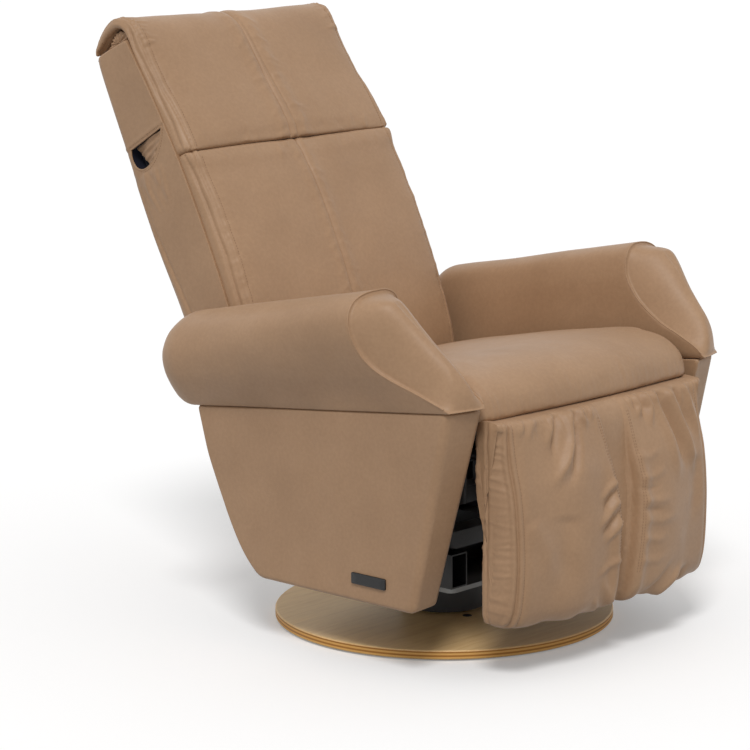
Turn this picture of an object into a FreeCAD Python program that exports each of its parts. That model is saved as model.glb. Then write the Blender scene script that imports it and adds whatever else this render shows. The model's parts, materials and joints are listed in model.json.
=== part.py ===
import FreeCAD, Part
import math
import os

# Swivel armchair with a reclining back and a lifting leg rest. Lengths are in millimetres.
# +Z is up and the sitter looks along -Y. The origin is on the floor, on the swivel axis.
# The sitter's right hand is at -X.

# General clearances
OVERRUN = 6.0
RUNNING_FIT = 0.05
LYING_GAP = 0.3

# Round base
FLOOR_PAD_THICK = 3.0
FLOOR_PAD_MARGIN = 14.0
DISC_RADIUS = 300.0
DISC_THICK = 16.0
DISC_EDGE_BREAK = 2.0
FLANGE_RADIUS = 105.0
FLANGE_THICK = 5.0
POCKET_GAP = 0.4
COLUMN_RADIUS = 38.0
COLUMN_WALL = 4.0
COLUMN_TOP = 89.0
BASE_BOLT_COUNT = 4
BASE_BOLT_CIRCLE = 88.0
BASE_BOLT_ANGLE = 69.0
BASE_BOLT_RADIUS = 4.0
BASE_BOLT_HEAD_RADIUS = 8.5
BASE_BOLT_HEAD_THICK = 5.0
BUSH_LENGTH = 52.0
THRUST_WASHER_THICK = 4.0
THRUST_WASHER_OVERHANG = 8.0
THRUST_GAP = 0.1

# Swivel head
SPINDLE_RADIUS = 24.0
SPINDLE_WALL = 6.0
SPINDLE_LENGTH = 60.0
COLLAR_RADIUS = 76.0
COLLAR_WALL = 3.0
COLLAR_DISC_GAP = 5.0
PLATE_WIDTH = 300.0
PLATE_DEPTH = 300.0
PLATE_THICK = 8.0
PLATE_CORNER = 14.0

# Chassis tubes
RAIL_WIDTH = 40.0
RAIL_HEIGHT = 60.0
RAIL_WALL = 2.5
CROSS_TUBE_HEIGHT = 30.0
CROSS_TUBE_DEPTH = 40.0
CROSS_TUBE_WALL = 2.0
CROSS_TUBE_OFFSET = 105.0
END_PLATE_THICK = 5.0
END_PLATE_HEIGHT = 56.0
END_PLATE_DEPTH = 74.0
POST_SIDE = 25.0
POST_OFFSET = 225.0

# Side panels
PANEL_INNER = 290.0
PANEL_THICK = 65.0
PANEL_ROUND = 14.0
PANEL_ROUND_STEPS = 3
PANEL_BOTTOM = 116.0
PANEL_TOP_FRONT = 462.0
PANEL_TOP_REAR = 400.0
PANEL_FRONT_REACH_TOP = 323.0
PANEL_FRONT_REACH_BOTTOM = 247.0
PANEL_REAR_REACH_TOP = 252.0
PANEL_REAR_REACH_BOTTOM = 115.0
PANEL_REAR_BULGE = 14.0
PANEL_FRONT_LEAD = 15.0

# Black lining between the panels, under the seat at the rear
LINING_THICK = 1.5
LINING_INSET = 3.0
LINING_FRAME_GAP = 2.0
LINING_LEVER_GAP = 8.0

# Arm pads
ARM_WIDTH = 122.0
ARM_REAR_REACH = 304.0
ARM_APEX_REACH = 172.0
ARM_TIP_REACH = 343.0
ARM_TOP_REAR = 553.0
ARM_TOP_APEX = 645.0
ARM_CROWN = 176.0
ARM_TIP_THICK = 16.0
ARM_TIP_WIDTH = 66.0
ARM_END_ROUND = 44.0

# Seat
SEAT_TILT = 11.0
SEAT_REAR_Y = 170.0
SEAT_REAR_Z = 366.0
SEAT_LENGTH = 504.0
SEAT_BOW = 22.0
SEAT_THICK = 74.0
SEAT_SIDE_GAP = 12.0
LIP_THICK = 30.0
LIP_DROP = 24.0
SEAT_TUBE = 25.0
SEAT_TUBE_WALL = 2.0
SEAT_TUBE_OFFSET = 258.0
WEB_THICK = 2.5
WEB_WIDTH = 50.0
SEAT_WEB_COUNT = 5
SEAT_WEB_PITCH = 92.0

# Back
BACK_TILT = 26.0
BACK_RECLINE_ANGLE = 35.0
BACK_PIVOT_Y = 236.0
BACK_PIVOT_Z = 396.0
BACK_SIDE_GAP = 26.0
BACK_HEIGHT = 678.0
BACK_FOOT = 34.0
BACK_REAR = 78.0
BACK_REAR_BULGE = 7.0
BACK_FRONT_FOOT = 20.0
BACK_FRONT_TOP = 15.0
BACK_FRONT_BULGE = 29.0
COVER_WALL = 6.0
COVER_SHOULDER = 68.0
COVER_ROUND = 14.0
COVER_ROUND_STEPS = 3
PAD_SEAM = 439.0
SEAM_GAP = 1.0
PAD_THICK = 42.0
HEAD_PAD_TOP_THICK = 26.0
PAD_FOOT = 18.0
WRAP_RISE = 44.0
WRAP_THICK = 18.0
WRAP_FOOT = 19.0
WRAP_REAR_STEP = 2.8
RIB_OFFSET = 196.0
RIB_THICK = 18.0
RIB_DEPTH = 45.0
RIB_TOP_GAP = 18.0
TORQUE_TUBE_RADIUS = 15.0
TORQUE_TUBE_END_GAP = 3.0
PIVOT_PIN_RADIUS = 9.0
PIVOT_PIN_REACH = 62.0
PIVOT_PLATE_THICK = 6.0
PIVOT_PLATE_ROUND = 14.0
PIVOT_PLATE_LENGTH = 86.0
PIVOT_PLATE_DROP = 62.0
PIVOT_HOLE_GAP = 3.0
BACK_RAIL_HEIGHT = 30.0
BACK_RAIL_DEPTH = 20.0
BACK_WEB_COUNT = 6
POCKET_TOP = 499.0
POCKET_LENGTH = 94.0
POCKET_DROP = 46.0
POCKET_LEAN = 8.0
POCKET_REAR = 63.0
POUCH_DEPTH = 40.0
POUCH_WALL = 2.0
POUCH_FOOT = 340.0
POUCH_HEAD_ROOM = 14.0
LEVER_WINDOW_FRONT = 10.0

# Leg rest
LEG_PIVOT_FORWARD = 40.5
LEG_PIVOT_DROP = 33.4
LEG_LIFT_ANGLE = 75.0
LEG_SIDE_GAP = 18.0
LEG_TOP_RADIUS = 41.0
LEG_TOP_ANGLE = 70.0
LEG_LENGTH = 328.0
LEG_DEPTH = 72.0
BOARD_FRONT = 20.0
BOARD_THICK = 10.0
BOARD_SIDE_MARGIN = 18.0
BOARD_TOP_DROP = 13.0
BOARD_FOOT_MARGIN = 30.0
BOARD_FOOT_CORNER = 40.0
BOARD_TOP_CORNER = 10.0
HINGE_OFFSET = 200.0
HINGE_ARM_THICK = 8.0
HINGE_BOSS_RADIUS = 10.0
HINGE_PIN_RADIUS = 5.0
HINGE_SIDE_GAP = 1.0
BRACKET_WALL = 4.0
BRACKET_DROP = 60.0
HINGE_SLOT_SIDE = 3.0
HINGE_SLOT_FRONT = 27.0

# Linear drives, one behind the other under the seat
DRIVE_OFFSET = 60.0
DRIVE_RADIUS = 17.0
DRIVE_ROD_RADIUS = 10.0
DRIVE_ROD_HOLD = 42.0
DRIVE_END_WALL = 8.0
DRIVE_MOUTH_GAP = 32.0
NECK_LENGTH = 26.0
NECK_HEIGHT = 11.0
GEARBOX_LENGTH = 52.0
GEARBOX_WIDTH = 56.0
GEARBOX_HEIGHT = 50.0
MOTOR_RADIUS = 21.0
MOTOR_LENGTH = 74.0
EYE_RADIUS = 9.5
EYE_WIDTH = 14.0
DRIVE_PIN_RADIUS = 5.0
LEVER_PLATE_THICK = 4.0
LEVER_SIDE_GAP = 1.5
LEVER_WALL = 5.5
SLOT_END_GAP = 2.0
CLAMP_WALL = 4.0
CLAMP_LENGTH = 24.0
CLAMP_WIDTH = 28.0
BACK_LEVER_LENGTH = 100.0
BACK_SLOT_PLAY = 0.8
LEG_LEVER_LENGTH = 70.0
LEG_SLOT_PLAY = 2.3
LEG_CLAMP_SETBACK = 48.0
LUG_BASE_THICK = 2.0
LUG_BASE_MARGIN = 11.0

# How far the rods' rate per angle goes from its value in the middle of the swing to its mean over it
RATE_SHARE = 0.7

# Screws through plates into the side panels
SCREW_RADIUS = 3.0
SCREW_LENGTH = 30.0
SCREW_HEAD_RADIUS = 6.0
SCREW_HEAD_THICK = 4.0
SCREW_EDGE = 13.0
SCREW_HEAD_SIDES = 6

# Control unit and mains inlet
CONTROL_WIDTH = 150.0
CONTROL_DEPTH = 170.0
CONTROL_HEIGHT = 48.0
CONTROL_ROUND = 4.0
CONTROL_REAR_MARGIN = 12.0
INLET_WIDTH = 28.0
INLET_HEIGHT = 21.0
INLET_DEPTH = 17.0
INLET_FRAME = 4.0
PRONG_RADIUS = 2.0
PRONG_LENGTH = 12.0
PRONG_SPACING = 7.0

# Fullness of each soft piece from its middle (0) to its side (1), as a share of its full swell
SEAT_FULL_SHARES = ((0.0, 1.0), (0.4, 0.99), (0.7, 0.965), (0.87, 0.91), (0.95, 0.82), (1.0, 0.58))
BACK_FULL_SHARES = ((0.0, 0.74), (0.035, 0.97), (0.22, 1.06), (0.55, 1.07), (0.8, 1.0), (0.92, 0.88),
                    (0.975, 0.66), (1.0, 0.4))
LEG_FULL_SHARES = ((0.0, 0.9), (0.115, 0.9), (0.17, 0.99), (0.45, 1.03), (0.74, 0.96), (0.88, 0.87),
                   (0.965, 0.58), (1.0, 0.3))
LEG_LENGTH_SHARES = (0.98, 0.98, 0.985, 1.0, 0.995, 0.975, 0.925, 0.86)

# Size of an arm pad's rounded rear end, from the end (0) forward (1)
ARM_END_SHARES = ((0.0, 0.56), (0.12, 0.79), (0.42, 0.94), (1.0, 1.0))
ARM_FRONT_SHARES = (0.0, 0.5, 1.0)

# The tables below are outlines: the points of each, and the middle of the arc to the next, or None.
# Arm pad, across its width and height, and the same at the thin tip
ARM_OUTLINE_SHARES = (((0.0, 0.0), None), ((0.5, 0.0), (0.87, 0.2)), ((1.0, 0.47), (0.95, 0.75)),
                      ((0.75, 0.92), (0.55, 1.0)), ((0.32, 0.98), (0.1, 0.88)), ((0.0, 0.66), None))
ARM_TIP_SHARES = (((0.0, 0.0), None), ((0.5, 0.0), (0.8, 0.24)), ((1.0, 0.47), (0.95, 0.75)),
                  ((0.75, 0.92), (0.55, 1.0)), ((0.32, 0.98), (0.1, 0.88)), ((0.0, 0.66), None))

# Top and nose of the seat, along its length and up its height
SEAT_TOP_SHARES = (((0.0, 0.86), (0.45, 1.0)), ((0.86, 0.9), (0.975, 0.7)), ((1.0, 0.18), None))

# Front of the lower back pad and of the head pad, up the pad's height and across its thickness
BACK_PAD_SHARES = (((0.0, 0.52), (0.18, 0.84)), ((0.36, 1.0), (0.64, 0.99)), ((0.94, 0.86), (0.98, 0.8)),
                   ((1.0, 0.68), None))
HEAD_PAD_SHARES = (((0.0, 0.74), (0.027, 0.87)), ((0.08, 0.93), (0.5, 0.845)))

# Roll over the top of the back: middles of its arcs, across the pad or the depth and up the roll
HEAD_TOP_LEAST_SHARE = 0.5
WRAP_CROWN_SHARE = 0.18
WRAP_FRONT_SHARES = (0.55, 0.72)
WRAP_REAR_SHARES = (0.72, 0.72)
WRAP_UNDER_SHARES = (0.62, 0.78)

# Rear cover: depth at the foot, and middles and ends of its corners as shares of the corner
COVER_FOOT_SHARE = 0.72
COVER_FOOT_BEND_SHARES = (0.4, 0.8)
COVER_SHOULDER_SHARE = 0.2
COVER_TOP_BEND_SHARE = 0.3
POCKET_LOW_SHARE = 0.36

# Front of the leg pad, across its depth and down its length
LEG_TOP_LEAST_SHARE = 0.7
LEG_SHOULDER_SHARES = (0.1, 0.18)
LEG_FRONT_SHARES = (((1.0, 0.44), (0.97, 0.68)), ((0.6, 0.91), (0.1, 1.0)))
LEG_FOOT_SHARE = 0.93

# How nearly an edge must run along a direction to count as running along it
ALONG_SHARE = 0.5


def at(x, y, z):
    return FreeCAD.Vector(x, y, z)


def box(x, y, z):
    """Block between two places along each axis."""
    return Part.makeBox(x[1] - x[0], y[1] - y[0], z[1] - z[0], at(x[0], y[0], z[0]))


def around(middle, size):
    """The two ends of a size that is centred on a place."""
    return (middle - size / 2, middle + size / 2)


def bar(radius, start, end):
    """Round bar from one point to another."""
    run = end.sub(start)
    return Part.makeCylinder(radius, run.Length, start, run)


def mirrored(shape):
    """The same piece on the sitter's other side."""
    return shape.mirror(at(0, 0, 0), at(1, 0, 0))


def tube_across(x, y, z, wall):
    """Rectangular tube along X, open at both ends."""
    bore = box((x[0] - OVERRUN, x[1] + OVERRUN), (y[0] + wall, y[1] - wall), (z[0] + wall, z[1] - wall))
    return box(x, y, z).cut(bore)


def tube_along(x, y, z, wall):
    """Rectangular tube along Y, open at both ends."""
    bore = box((x[0] + wall, x[1] - wall), (y[0] - OVERRUN, y[1] + OVERRUN), (z[0] + wall, z[1] - wall))
    return box(x, y, z).cut(bore)


def upright_plane(x):
    """Puts an outline of (y, z) points on the plane at x."""
    return lambda point: at(x, point[0], point[1])


def cross_plane(y):
    """Puts an outline of (x, z) points on the plane at y."""
    return lambda point: at(point[0], y, point[1])


def level_plane(z):
    """Puts an outline of (x, y) points on the plane at z."""
    return lambda point: at(point[0], point[1], z)


def closed_wire(steps, place):
    """Wire through the steps. Each holds a point and the middle of the arc to the next, or None."""
    edges = []
    for index, (point, middle) in enumerate(steps):
        start = place(point)
        end = place(steps[(index + 1) % len(steps)][0])
        if middle is None:
            edges.append(Part.LineSegment(start, end).toShape())
        else:
            edges.append(Part.Arc(start, place(middle), end).toShape())
    return Part.Wire(edges)


def slab(steps, x):
    """Flat piece of an outline in Y and Z, between two places along X."""
    face = Part.Face(closed_wire(steps, upright_plane(x[0])))
    return face.extrude(at(x[1] - x[0], 0, 0))


def lofted(wires):
    return Part.makeLoft(wires, True, True)


def rounded(points, radius):
    """Steps of a polygon whose corners all have one radius."""
    steps = []
    for index, corner in enumerate(points):
        before = points[index - 1]
        after = points[(index + 1) % len(points)]
        back = at(before[0] - corner[0], before[1] - corner[1], 0).normalize()
        on = at(after[0] - corner[0], after[1] - corner[1], 0).normalize()
        half_angle = back.getAngle(on) / 2
        inward = back.add(on).normalize()
        reach = radius / math.tan(half_angle)
        depth = radius / math.sin(half_angle) - radius
        start = (corner[0] + back.x * reach, corner[1] + back.y * reach)
        middle = (corner[0] + inward.x * depth, corner[1] + inward.y * depth)
        end = (corner[0] + on.x * reach, corner[1] + on.y * reach)
        steps.append((start, middle))
        steps.append((end, None))
    return steps


def stadium(first, second, radius):
    """Steps of a slot outline: two half circles and the straight sides between them."""
    run = at(second[0] - first[0], second[1] - first[1], 0).normalize()
    side = (-run.y * radius, run.x * radius)
    tip = (run.x * radius, run.y * radius)
    return [
        ((first[0] + side[0], first[1] + side[1]), (first[0] - tip[0], first[1] - tip[1])),
        ((first[0] - side[0], first[1] - side[1]), None),
        ((second[0] - side[0], second[1] - side[1]), (second[0] + tip[0], second[1] + tip[1])),
        ((second[0] + side[0], second[1] + side[1]), None),
    ]


def both_sides(shares):
    """A table from the middle to the side, run from one side to the other."""
    left = [(-row[0],) + tuple(row[1:]) for row in reversed(shares[1:])]
    return left + [tuple(row) for row in shares]


def share_steps(shares, place):
    """Steps of an outline from a table of shares and the function that puts them in place."""
    return [(place(point), None if middle is None else place(middle)) for point, middle in shares]


def edges_along(shape, way):
    """Straight edges of a block that run along a direction."""
    return [edge for edge in shape.Edges if abs(edge.tangentAt(edge.FirstParameter).dot(way)) > ALONG_SHARE]


def circle_through(first, middle, last):
    """Centre and radius of the circle through three points."""
    ax, ay = first
    bx, by = middle
    cx, cy = last
    turn = 2 * (ax * (by - cy) + bx * (cy - ay) + cx * (ay - by))
    a2 = ax * ax + ay * ay
    b2 = bx * bx + by * by
    c2 = cx * cx + cy * cy
    x = (a2 * (by - cy) + b2 * (cy - ay) + c2 * (ay - by)) / turn
    y = (a2 * (cx - bx) + b2 * (ax - cx) + c2 * (bx - ax)) / turn
    return (x, y), math.hypot(ax - x, ay - y)


# Frames of the seat, the back and the leg rest
def tilted(shape, angle, y, z):
    """Leans a piece back by an angle about its own origin and puts that origin in place."""
    moved = shape.copy()
    moved.Placement = FreeCAD.Placement(at(0, y, z), FreeCAD.Rotation(at(1, 0, 0), -angle))
    return moved


def on_seat(shape):
    return tilted(shape, SEAT_TILT, SEAT_REAR_Y, SEAT_REAR_Z)


def on_back(shape):
    return tilted(shape, BACK_TILT, BACK_PIVOT_Y, BACK_PIVOT_Z)


def on_leg(shape):
    return tilted(shape, 0, LEG_PIVOT_Y, LEG_PIVOT_Z)


def seat_point(y, z):
    """Place in the chair of a point given along and square to the seat."""
    angle = math.radians(SEAT_TILT)
    across = SEAT_REAR_Y + y * math.cos(angle) + z * math.sin(angle)
    return (across, SEAT_REAR_Z - y * math.sin(angle) + z * math.cos(angle))


# Sizes that follow from those above
DISC_BOTTOM = FLOOR_PAD_THICK
DISC_TOP = DISC_BOTTOM + DISC_THICK
FLANGE_TOP = DISC_BOTTOM + FLANGE_THICK
WASHER_TOP = COLUMN_TOP + THRUST_WASHER_THICK
PLATE_BOTTOM = WASHER_TOP + THRUST_GAP
PLATE_TOP = PLATE_BOTTOM + PLATE_THICK
RAIL_TOP = PLATE_TOP + RAIL_HEIGHT
CROSS_TUBE_TOP = RAIL_TOP + CROSS_TUBE_HEIGHT
PANEL_OUTER = PANEL_INNER + PANEL_THICK
SEAT_HALF = PANEL_INNER - SEAT_SIDE_GAP
BACK_HALF = PANEL_INNER - BACK_SIDE_GAP
LEG_HALF = PANEL_INNER - LEG_SIDE_GAP
SEAT_FRAME_DEPTH = WEB_THICK + SEAT_TUBE
SEAT_FRAME_FRONT = LIP_THICK - SEAT_LENGTH
BOARD_REAR = BOARD_FRONT + BOARD_THICK
LEG_PIVOT_Y = seat_point(SEAT_FRAME_FRONT, -SEAT_FRAME_DEPTH)[0] - LEG_PIVOT_FORWARD
LEG_PIVOT_Z = seat_point(SEAT_FRAME_FRONT, -SEAT_FRAME_DEPTH)[1] - LEG_PIVOT_DROP


# Base
def floor_pad():
    return Part.makeCylinder(DISC_RADIUS - FLOOR_PAD_MARGIN, FLOOR_PAD_THICK)


def base_bolt_places():
    places = []
    for index in range(BASE_BOLT_COUNT):
        angle = math.radians(BASE_BOLT_ANGLE + 360 * index / BASE_BOLT_COUNT)
        places.append((BASE_BOLT_CIRCLE * math.cos(angle), BASE_BOLT_CIRCLE * math.sin(angle)))
    return places


def base_bolt(x, y):
    """Flat-headed bolt from the top of the disc into the flange under it."""
    head_bottom = DISC_TOP - BASE_BOLT_HEAD_THICK
    head = bar(BASE_BOLT_HEAD_RADIUS, at(x, y, head_bottom), at(x, y, DISC_TOP))
    shank = bar(BASE_BOLT_RADIUS, at(x, y, DISC_BOTTOM), at(x, y, head_bottom))
    return head.fuse(shank)


def base_bolts():
    return Part.makeCompound([base_bolt(x, y) for x, y in base_bolt_places()])


def base_disc():
    """Plywood disc with a pocket under it for the column's flange."""
    disc = Part.makeCylinder(DISC_RADIUS, DISC_THICK, at(0, 0, DISC_BOTTOM))
    rims = [edge for edge in disc.Edges if isinstance(edge.Curve, Part.Circle)]
    disc = disc.makeChamfer(DISC_EDGE_BREAK, rims)
    pocket = bar(FLANGE_RADIUS + POCKET_GAP, at(0, 0, DISC_BOTTOM - OVERRUN), at(0, 0, FLANGE_TOP))
    hole = bar(COLUMN_RADIUS + POCKET_GAP, at(0, 0, DISC_BOTTOM), at(0, 0, DISC_TOP + OVERRUN))
    disc = disc.cut(pocket).cut(hole)
    for x, y in base_bolt_places():
        disc = disc.cut(base_bolt(x, y))
    return disc


def base_column():
    """Steel flange under the disc and the tube that stands on it."""
    flange = Part.makeCylinder(FLANGE_RADIUS, FLANGE_THICK, at(0, 0, DISC_BOTTOM))
    tube = bar(COLUMN_RADIUS, at(0, 0, DISC_BOTTOM), at(0, 0, COLUMN_TOP))
    bore = bar(COLUMN_RADIUS - COLUMN_WALL, at(0, 0, DISC_BOTTOM - OVERRUN), at(0, 0, COLUMN_TOP + OVERRUN))
    column = flange.fuse(tube).cut(bore)
    for x, y in base_bolt_places():
        column = column.cut(base_bolt(x, y))
    return column


def swivel_bush():
    """Nylon bush in the top of the column."""
    bottom = COLUMN_TOP - BUSH_LENGTH
    bush = bar(COLUMN_RADIUS - COLUMN_WALL, at(0, 0, bottom), at(0, 0, COLUMN_TOP))
    bore = bar(SPINDLE_RADIUS + RUNNING_FIT, at(0, 0, bottom - OVERRUN), at(0, 0, COLUMN_TOP + OVERRUN))
    return bush.cut(bore)


def thrust_washer():
    """Nylon ring on the column's end that carries the chair."""
    washer = bar(COLUMN_RADIUS + THRUST_WASHER_OVERHANG, at(0, 0, COLUMN_TOP), at(0, 0, WASHER_TOP))
    hole = bar(SPINDLE_RADIUS + RUNNING_FIT, at(0, 0, COLUMN_TOP - OVERRUN), at(0, 0, WASHER_TOP + OVERRUN))
    return washer.cut(hole)


# Chassis
def swivel_spindle():
    """Hollow shaft that turns in the bush."""
    bottom = PLATE_BOTTOM - SPINDLE_LENGTH
    shaft = bar(SPINDLE_RADIUS, at(0, 0, bottom), at(0, 0, PLATE_BOTTOM))
    bore_radius = SPINDLE_RADIUS - SPINDLE_WALL
    return shaft.cut(bar(bore_radius, at(0, 0, bottom - OVERRUN), at(0, 0, PLATE_BOTTOM + OVERRUN)))


def swivel_plate():
    half_x = PLATE_WIDTH / 2
    half_y = PLATE_DEPTH / 2
    corners = [(-half_x, -half_y), (half_x, -half_y), (half_x, half_y), (-half_x, half_y)]
    face = Part.Face(closed_wire(rounded(corners, PLATE_CORNER), level_plane(PLATE_BOTTOM)))
    return face.extrude(at(0, 0, PLATE_THICK))


def column_collar():
    """Skirt that hangs from the plate and hides the column."""
    bottom = DISC_TOP + COLLAR_DISC_GAP
    skirt = bar(COLLAR_RADIUS, at(0, 0, bottom), at(0, 0, PLATE_BOTTOM))
    bore = bar(COLLAR_RADIUS - COLLAR_WALL, at(0, 0, bottom - OVERRUN), at(0, 0, PLATE_BOTTOM + OVERRUN))
    return skirt.cut(bore)


def chassis_rail():
    outer = PLATE_WIDTH / 2
    return tube_along((outer - RAIL_WIDTH, outer), around(0, PLATE_DEPTH), (PLATE_TOP, RAIL_TOP), RAIL_WALL)


def cross_tube(y):
    """Tube from one side panel to the other, with a plate welded on each end."""
    half = PANEL_INNER - END_PLATE_THICK
    middle_z = RAIL_TOP + CROSS_TUBE_HEIGHT / 2
    z = (RAIL_TOP, CROSS_TUBE_TOP)
    tube = tube_across((-half, half), around(y, CROSS_TUBE_DEPTH), z, CROSS_TUBE_WALL)
    for inner in (-PANEL_INNER, half):
        outer = inner + END_PLATE_THICK
        plate = box((inner, outer), around(y, END_PLATE_DEPTH), around(middle_z, END_PLATE_HEIGHT))
        for place in end_screw_places(y):
            plate = plate.cut(bar(SCREW_RADIUS, at(inner - OVERRUN, *place), at(outer + OVERRUN, *place)))
        tube = tube.fuse(plate)
    return tube


def end_screw_places(y):
    """Screws each side of a cross tube, as (y, z)."""
    z = RAIL_TOP + CROSS_TUBE_HEIGHT / 2
    reach = END_PLATE_DEPTH / 2 - SCREW_HEAD_RADIUS - LYING_GAP
    return [(y - reach, z), (y + reach, z)]


def below_seat_frame(shape):
    """The part of a piece under the slope of the seat frame."""
    reach = SEAT_LENGTH + SEAT_REAR_Y
    under = box(around(0, PANEL_INNER * 2), around(-reach / 2, reach * 2), (-reach, -SEAT_FRAME_DEPTH))
    return shape.common(on_seat(under))


def seat_posts():
    """Four uprights between the cross tubes and the sloping seat frame."""
    posts = []
    for x in (-POST_OFFSET, POST_OFFSET):
        for y in (-CROSS_TUBE_OFFSET, CROSS_TUBE_OFFSET):
            top = SEAT_REAR_Z + SEAT_LENGTH * math.sin(math.radians(SEAT_TILT))
            post = box(around(x, POST_SIDE), around(y, POST_SIDE), (CROSS_TUBE_TOP, top))
            posts.append(below_seat_frame(post))
    return Part.makeCompound(posts)


# Seat
def seat_side_tube():
    y = (SEAT_FRAME_FRONT, 0)
    z = (-SEAT_FRAME_DEPTH, -WEB_THICK)
    return on_seat(tube_along(around(SEAT_TUBE_OFFSET, SEAT_TUBE), y, z, SEAT_TUBE_WALL))


def seat_cross_tube(front):
    """Tube between the side tubes, from a place along the seat rearwards."""
    half = SEAT_TUBE_OFFSET - SEAT_TUBE / 2
    y = (front, front + SEAT_TUBE)
    return on_seat(tube_across((-half, half), y, (-SEAT_FRAME_DEPTH, -WEB_THICK), SEAT_TUBE_WALL))


def leg_drive_support():
    """Front edge, along the seat, of the tube that the leg rest's drive hangs from."""
    middle = leg_drive_mouth() + LEG_CLAMP_SETBACK - SEAT_REAR_Y
    return middle / math.cos(math.radians(SEAT_TILT)) - SEAT_TUBE / 2


def seat_webbing():
    """Elastic straps from the front tube to the rear tube."""
    straps = []
    for index in range(SEAT_WEB_COUNT):
        x = (index - (SEAT_WEB_COUNT - 1) / 2) * SEAT_WEB_PITCH
        straps.append(box(around(x, WEB_WIDTH), (SEAT_FRAME_FRONT, 0), (-WEB_THICK, 0)))
    return on_seat(Part.makeCompound(straps))


def seat_steps(share, fullness):
    """Outline of the cushion along the seat: flat below, crowned above, with a rounded nose and a lip."""
    length = SEAT_LENGTH + SEAT_BOW * (1 - share * share) - SEAT_BOW * (1 - fullness)
    height = SEAT_THICK * fullness
    top = share_steps(SEAT_TOP_SHARES, lambda point: (-length * point[0], height * point[1]))
    lip = [
        ((-length, -LIP_DROP), None),
        ((SEAT_FRAME_FRONT - LYING_GAP, -LIP_DROP), None),
        ((SEAT_FRAME_FRONT - LYING_GAP, 0), None),
    ]
    return [((0, 0), None)] + top + lip


def seat_cushion():
    wires = []
    for share, fullness in both_sides(SEAT_FULL_SHARES):
        wires.append(closed_wire(seat_steps(share, fullness), upright_plane(share * SEAT_HALF)))
    return on_seat(lofted(wires))


# Side panels and arm pads
def panel_top(y):
    """Height of the panel's top edge, which falls towards the rear in a straight line."""
    fall = (PANEL_TOP_FRONT - PANEL_TOP_REAR) / (PANEL_FRONT_REACH_TOP + PANEL_REAR_REACH_TOP)
    return PANEL_TOP_REAR + fall * (PANEL_REAR_REACH_TOP - y)


def panel_steps(inset, lead):
    """Outline of a panel, drawn in from its front, foot and rear edges."""
    front_top = -PANEL_FRONT_REACH_TOP - lead + inset
    front_foot = -PANEL_FRONT_REACH_BOTTOM - lead + inset
    rear_foot = PANEL_REAR_REACH_BOTTOM - inset
    rear_top = PANEL_REAR_REACH_TOP - inset
    foot = PANEL_BOTTOM + inset
    bulge_y = (rear_foot + rear_top) / 2 + PANEL_REAR_BULGE
    bulge_z = (foot + panel_top(rear_top)) / 2 - PANEL_REAR_BULGE / 2
    return [
        ((front_foot, foot), None),
        ((rear_foot, foot), (bulge_y, bulge_z)),
        ((rear_top, panel_top(rear_top)), None),
        ((front_top, panel_top(front_top)), None),
    ]


def side_panel():
    """Upholstered panel with rounded outer edges and a front edge that leads at the inner face."""
    wires = [closed_wire(panel_steps(0, PANEL_FRONT_LEAD), upright_plane(PANEL_INNER))]
    for index in range(PANEL_ROUND_STEPS + 1):
        angle = math.pi / 2 * index / PANEL_ROUND_STEPS
        x = PANEL_OUTER - PANEL_ROUND * (1 - math.sin(angle))
        lead = PANEL_FRONT_LEAD * (PANEL_OUTER - x) / PANEL_THICK
        wires.append(closed_wire(panel_steps(PANEL_ROUND * (1 - math.cos(angle)), lead), upright_plane(x)))
    panel = lofted(wires)
    for y, z in screw_places():
        panel = panel.cut(bar(SCREW_RADIUS, at(PANEL_INNER - OVERRUN, y, z), at(screw_tip(y, z), y, z)))
    return panel


def lining_top():
    """Height just under the sweep of the back's lever."""
    reach = BACK_LEVER_LENGTH / math.cos(lever_half_swing(BACK_RECLINE_ANGLE)) + SLOT_END_GAP
    return BACK_PIVOT_Z - reach - DRIVE_PIN_RADIUS - BACK_SLOT_PLAY - LEVER_WALL - LINING_LEVER_GAP


def lining_strip(x, z):
    """Strip of lining that follows the panels' rear edges."""
    wide = (x[0] - OVERRUN, x[1] + OVERRUN)
    strip = slab(panel_steps(LINING_INSET, 0), x)
    strip = strip.cut(slab(panel_steps(LINING_INSET + LINING_THICK, 0), wide))
    return strip.common(box(x, (0, PANEL_REAR_REACH_TOP), z))


def rear_lining():
    """Band of lining between the panels and a flap below it at each side of the rails."""
    middle = RAIL_TOP + (CROSS_TUBE_HEIGHT + END_PLATE_HEIGHT) / 2 + LINING_FRAME_GAP
    foot = PANEL_BOTTOM + LINING_INSET + LINING_THICK
    inner = PLATE_WIDTH / 2 + LINING_FRAME_GAP
    outer = PANEL_INNER - END_PLATE_THICK - LINING_FRAME_GAP
    flap = lining_strip((inner, outer), (foot, middle))
    band = lining_strip((-PANEL_INNER, PANEL_INNER), (middle, lining_top()))
    return Part.makeCompound([band, flap, mirrored(flap)])


def arm_wire(y, top, crown, width, size, outline):
    """Section across an arm pad: a foot on the panel and a crown hung from the top line.

    The section is drawn in about its own middle by the size.
    """
    bottom = panel_top(y)
    middle_x = PANEL_INNER + width / 2
    middle_z = (bottom + top) / 2

    def place(point):
        x = PANEL_INNER + width * point[0]
        z = top - crown * (1 - point[1]) if point[1] > 0 else bottom
        return at(middle_x + (x - middle_x) * size, y, middle_z + (z - middle_z) * size)
    return closed_wire(outline, place)


def arm_top(y):
    """Height of the arm's top line, which rises from the rear to its highest point."""
    share = (ARM_REAR_REACH - y) / (ARM_REAR_REACH + ARM_APEX_REACH)
    return ARM_TOP_REAR + (ARM_TOP_APEX - ARM_TOP_REAR) * share


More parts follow.
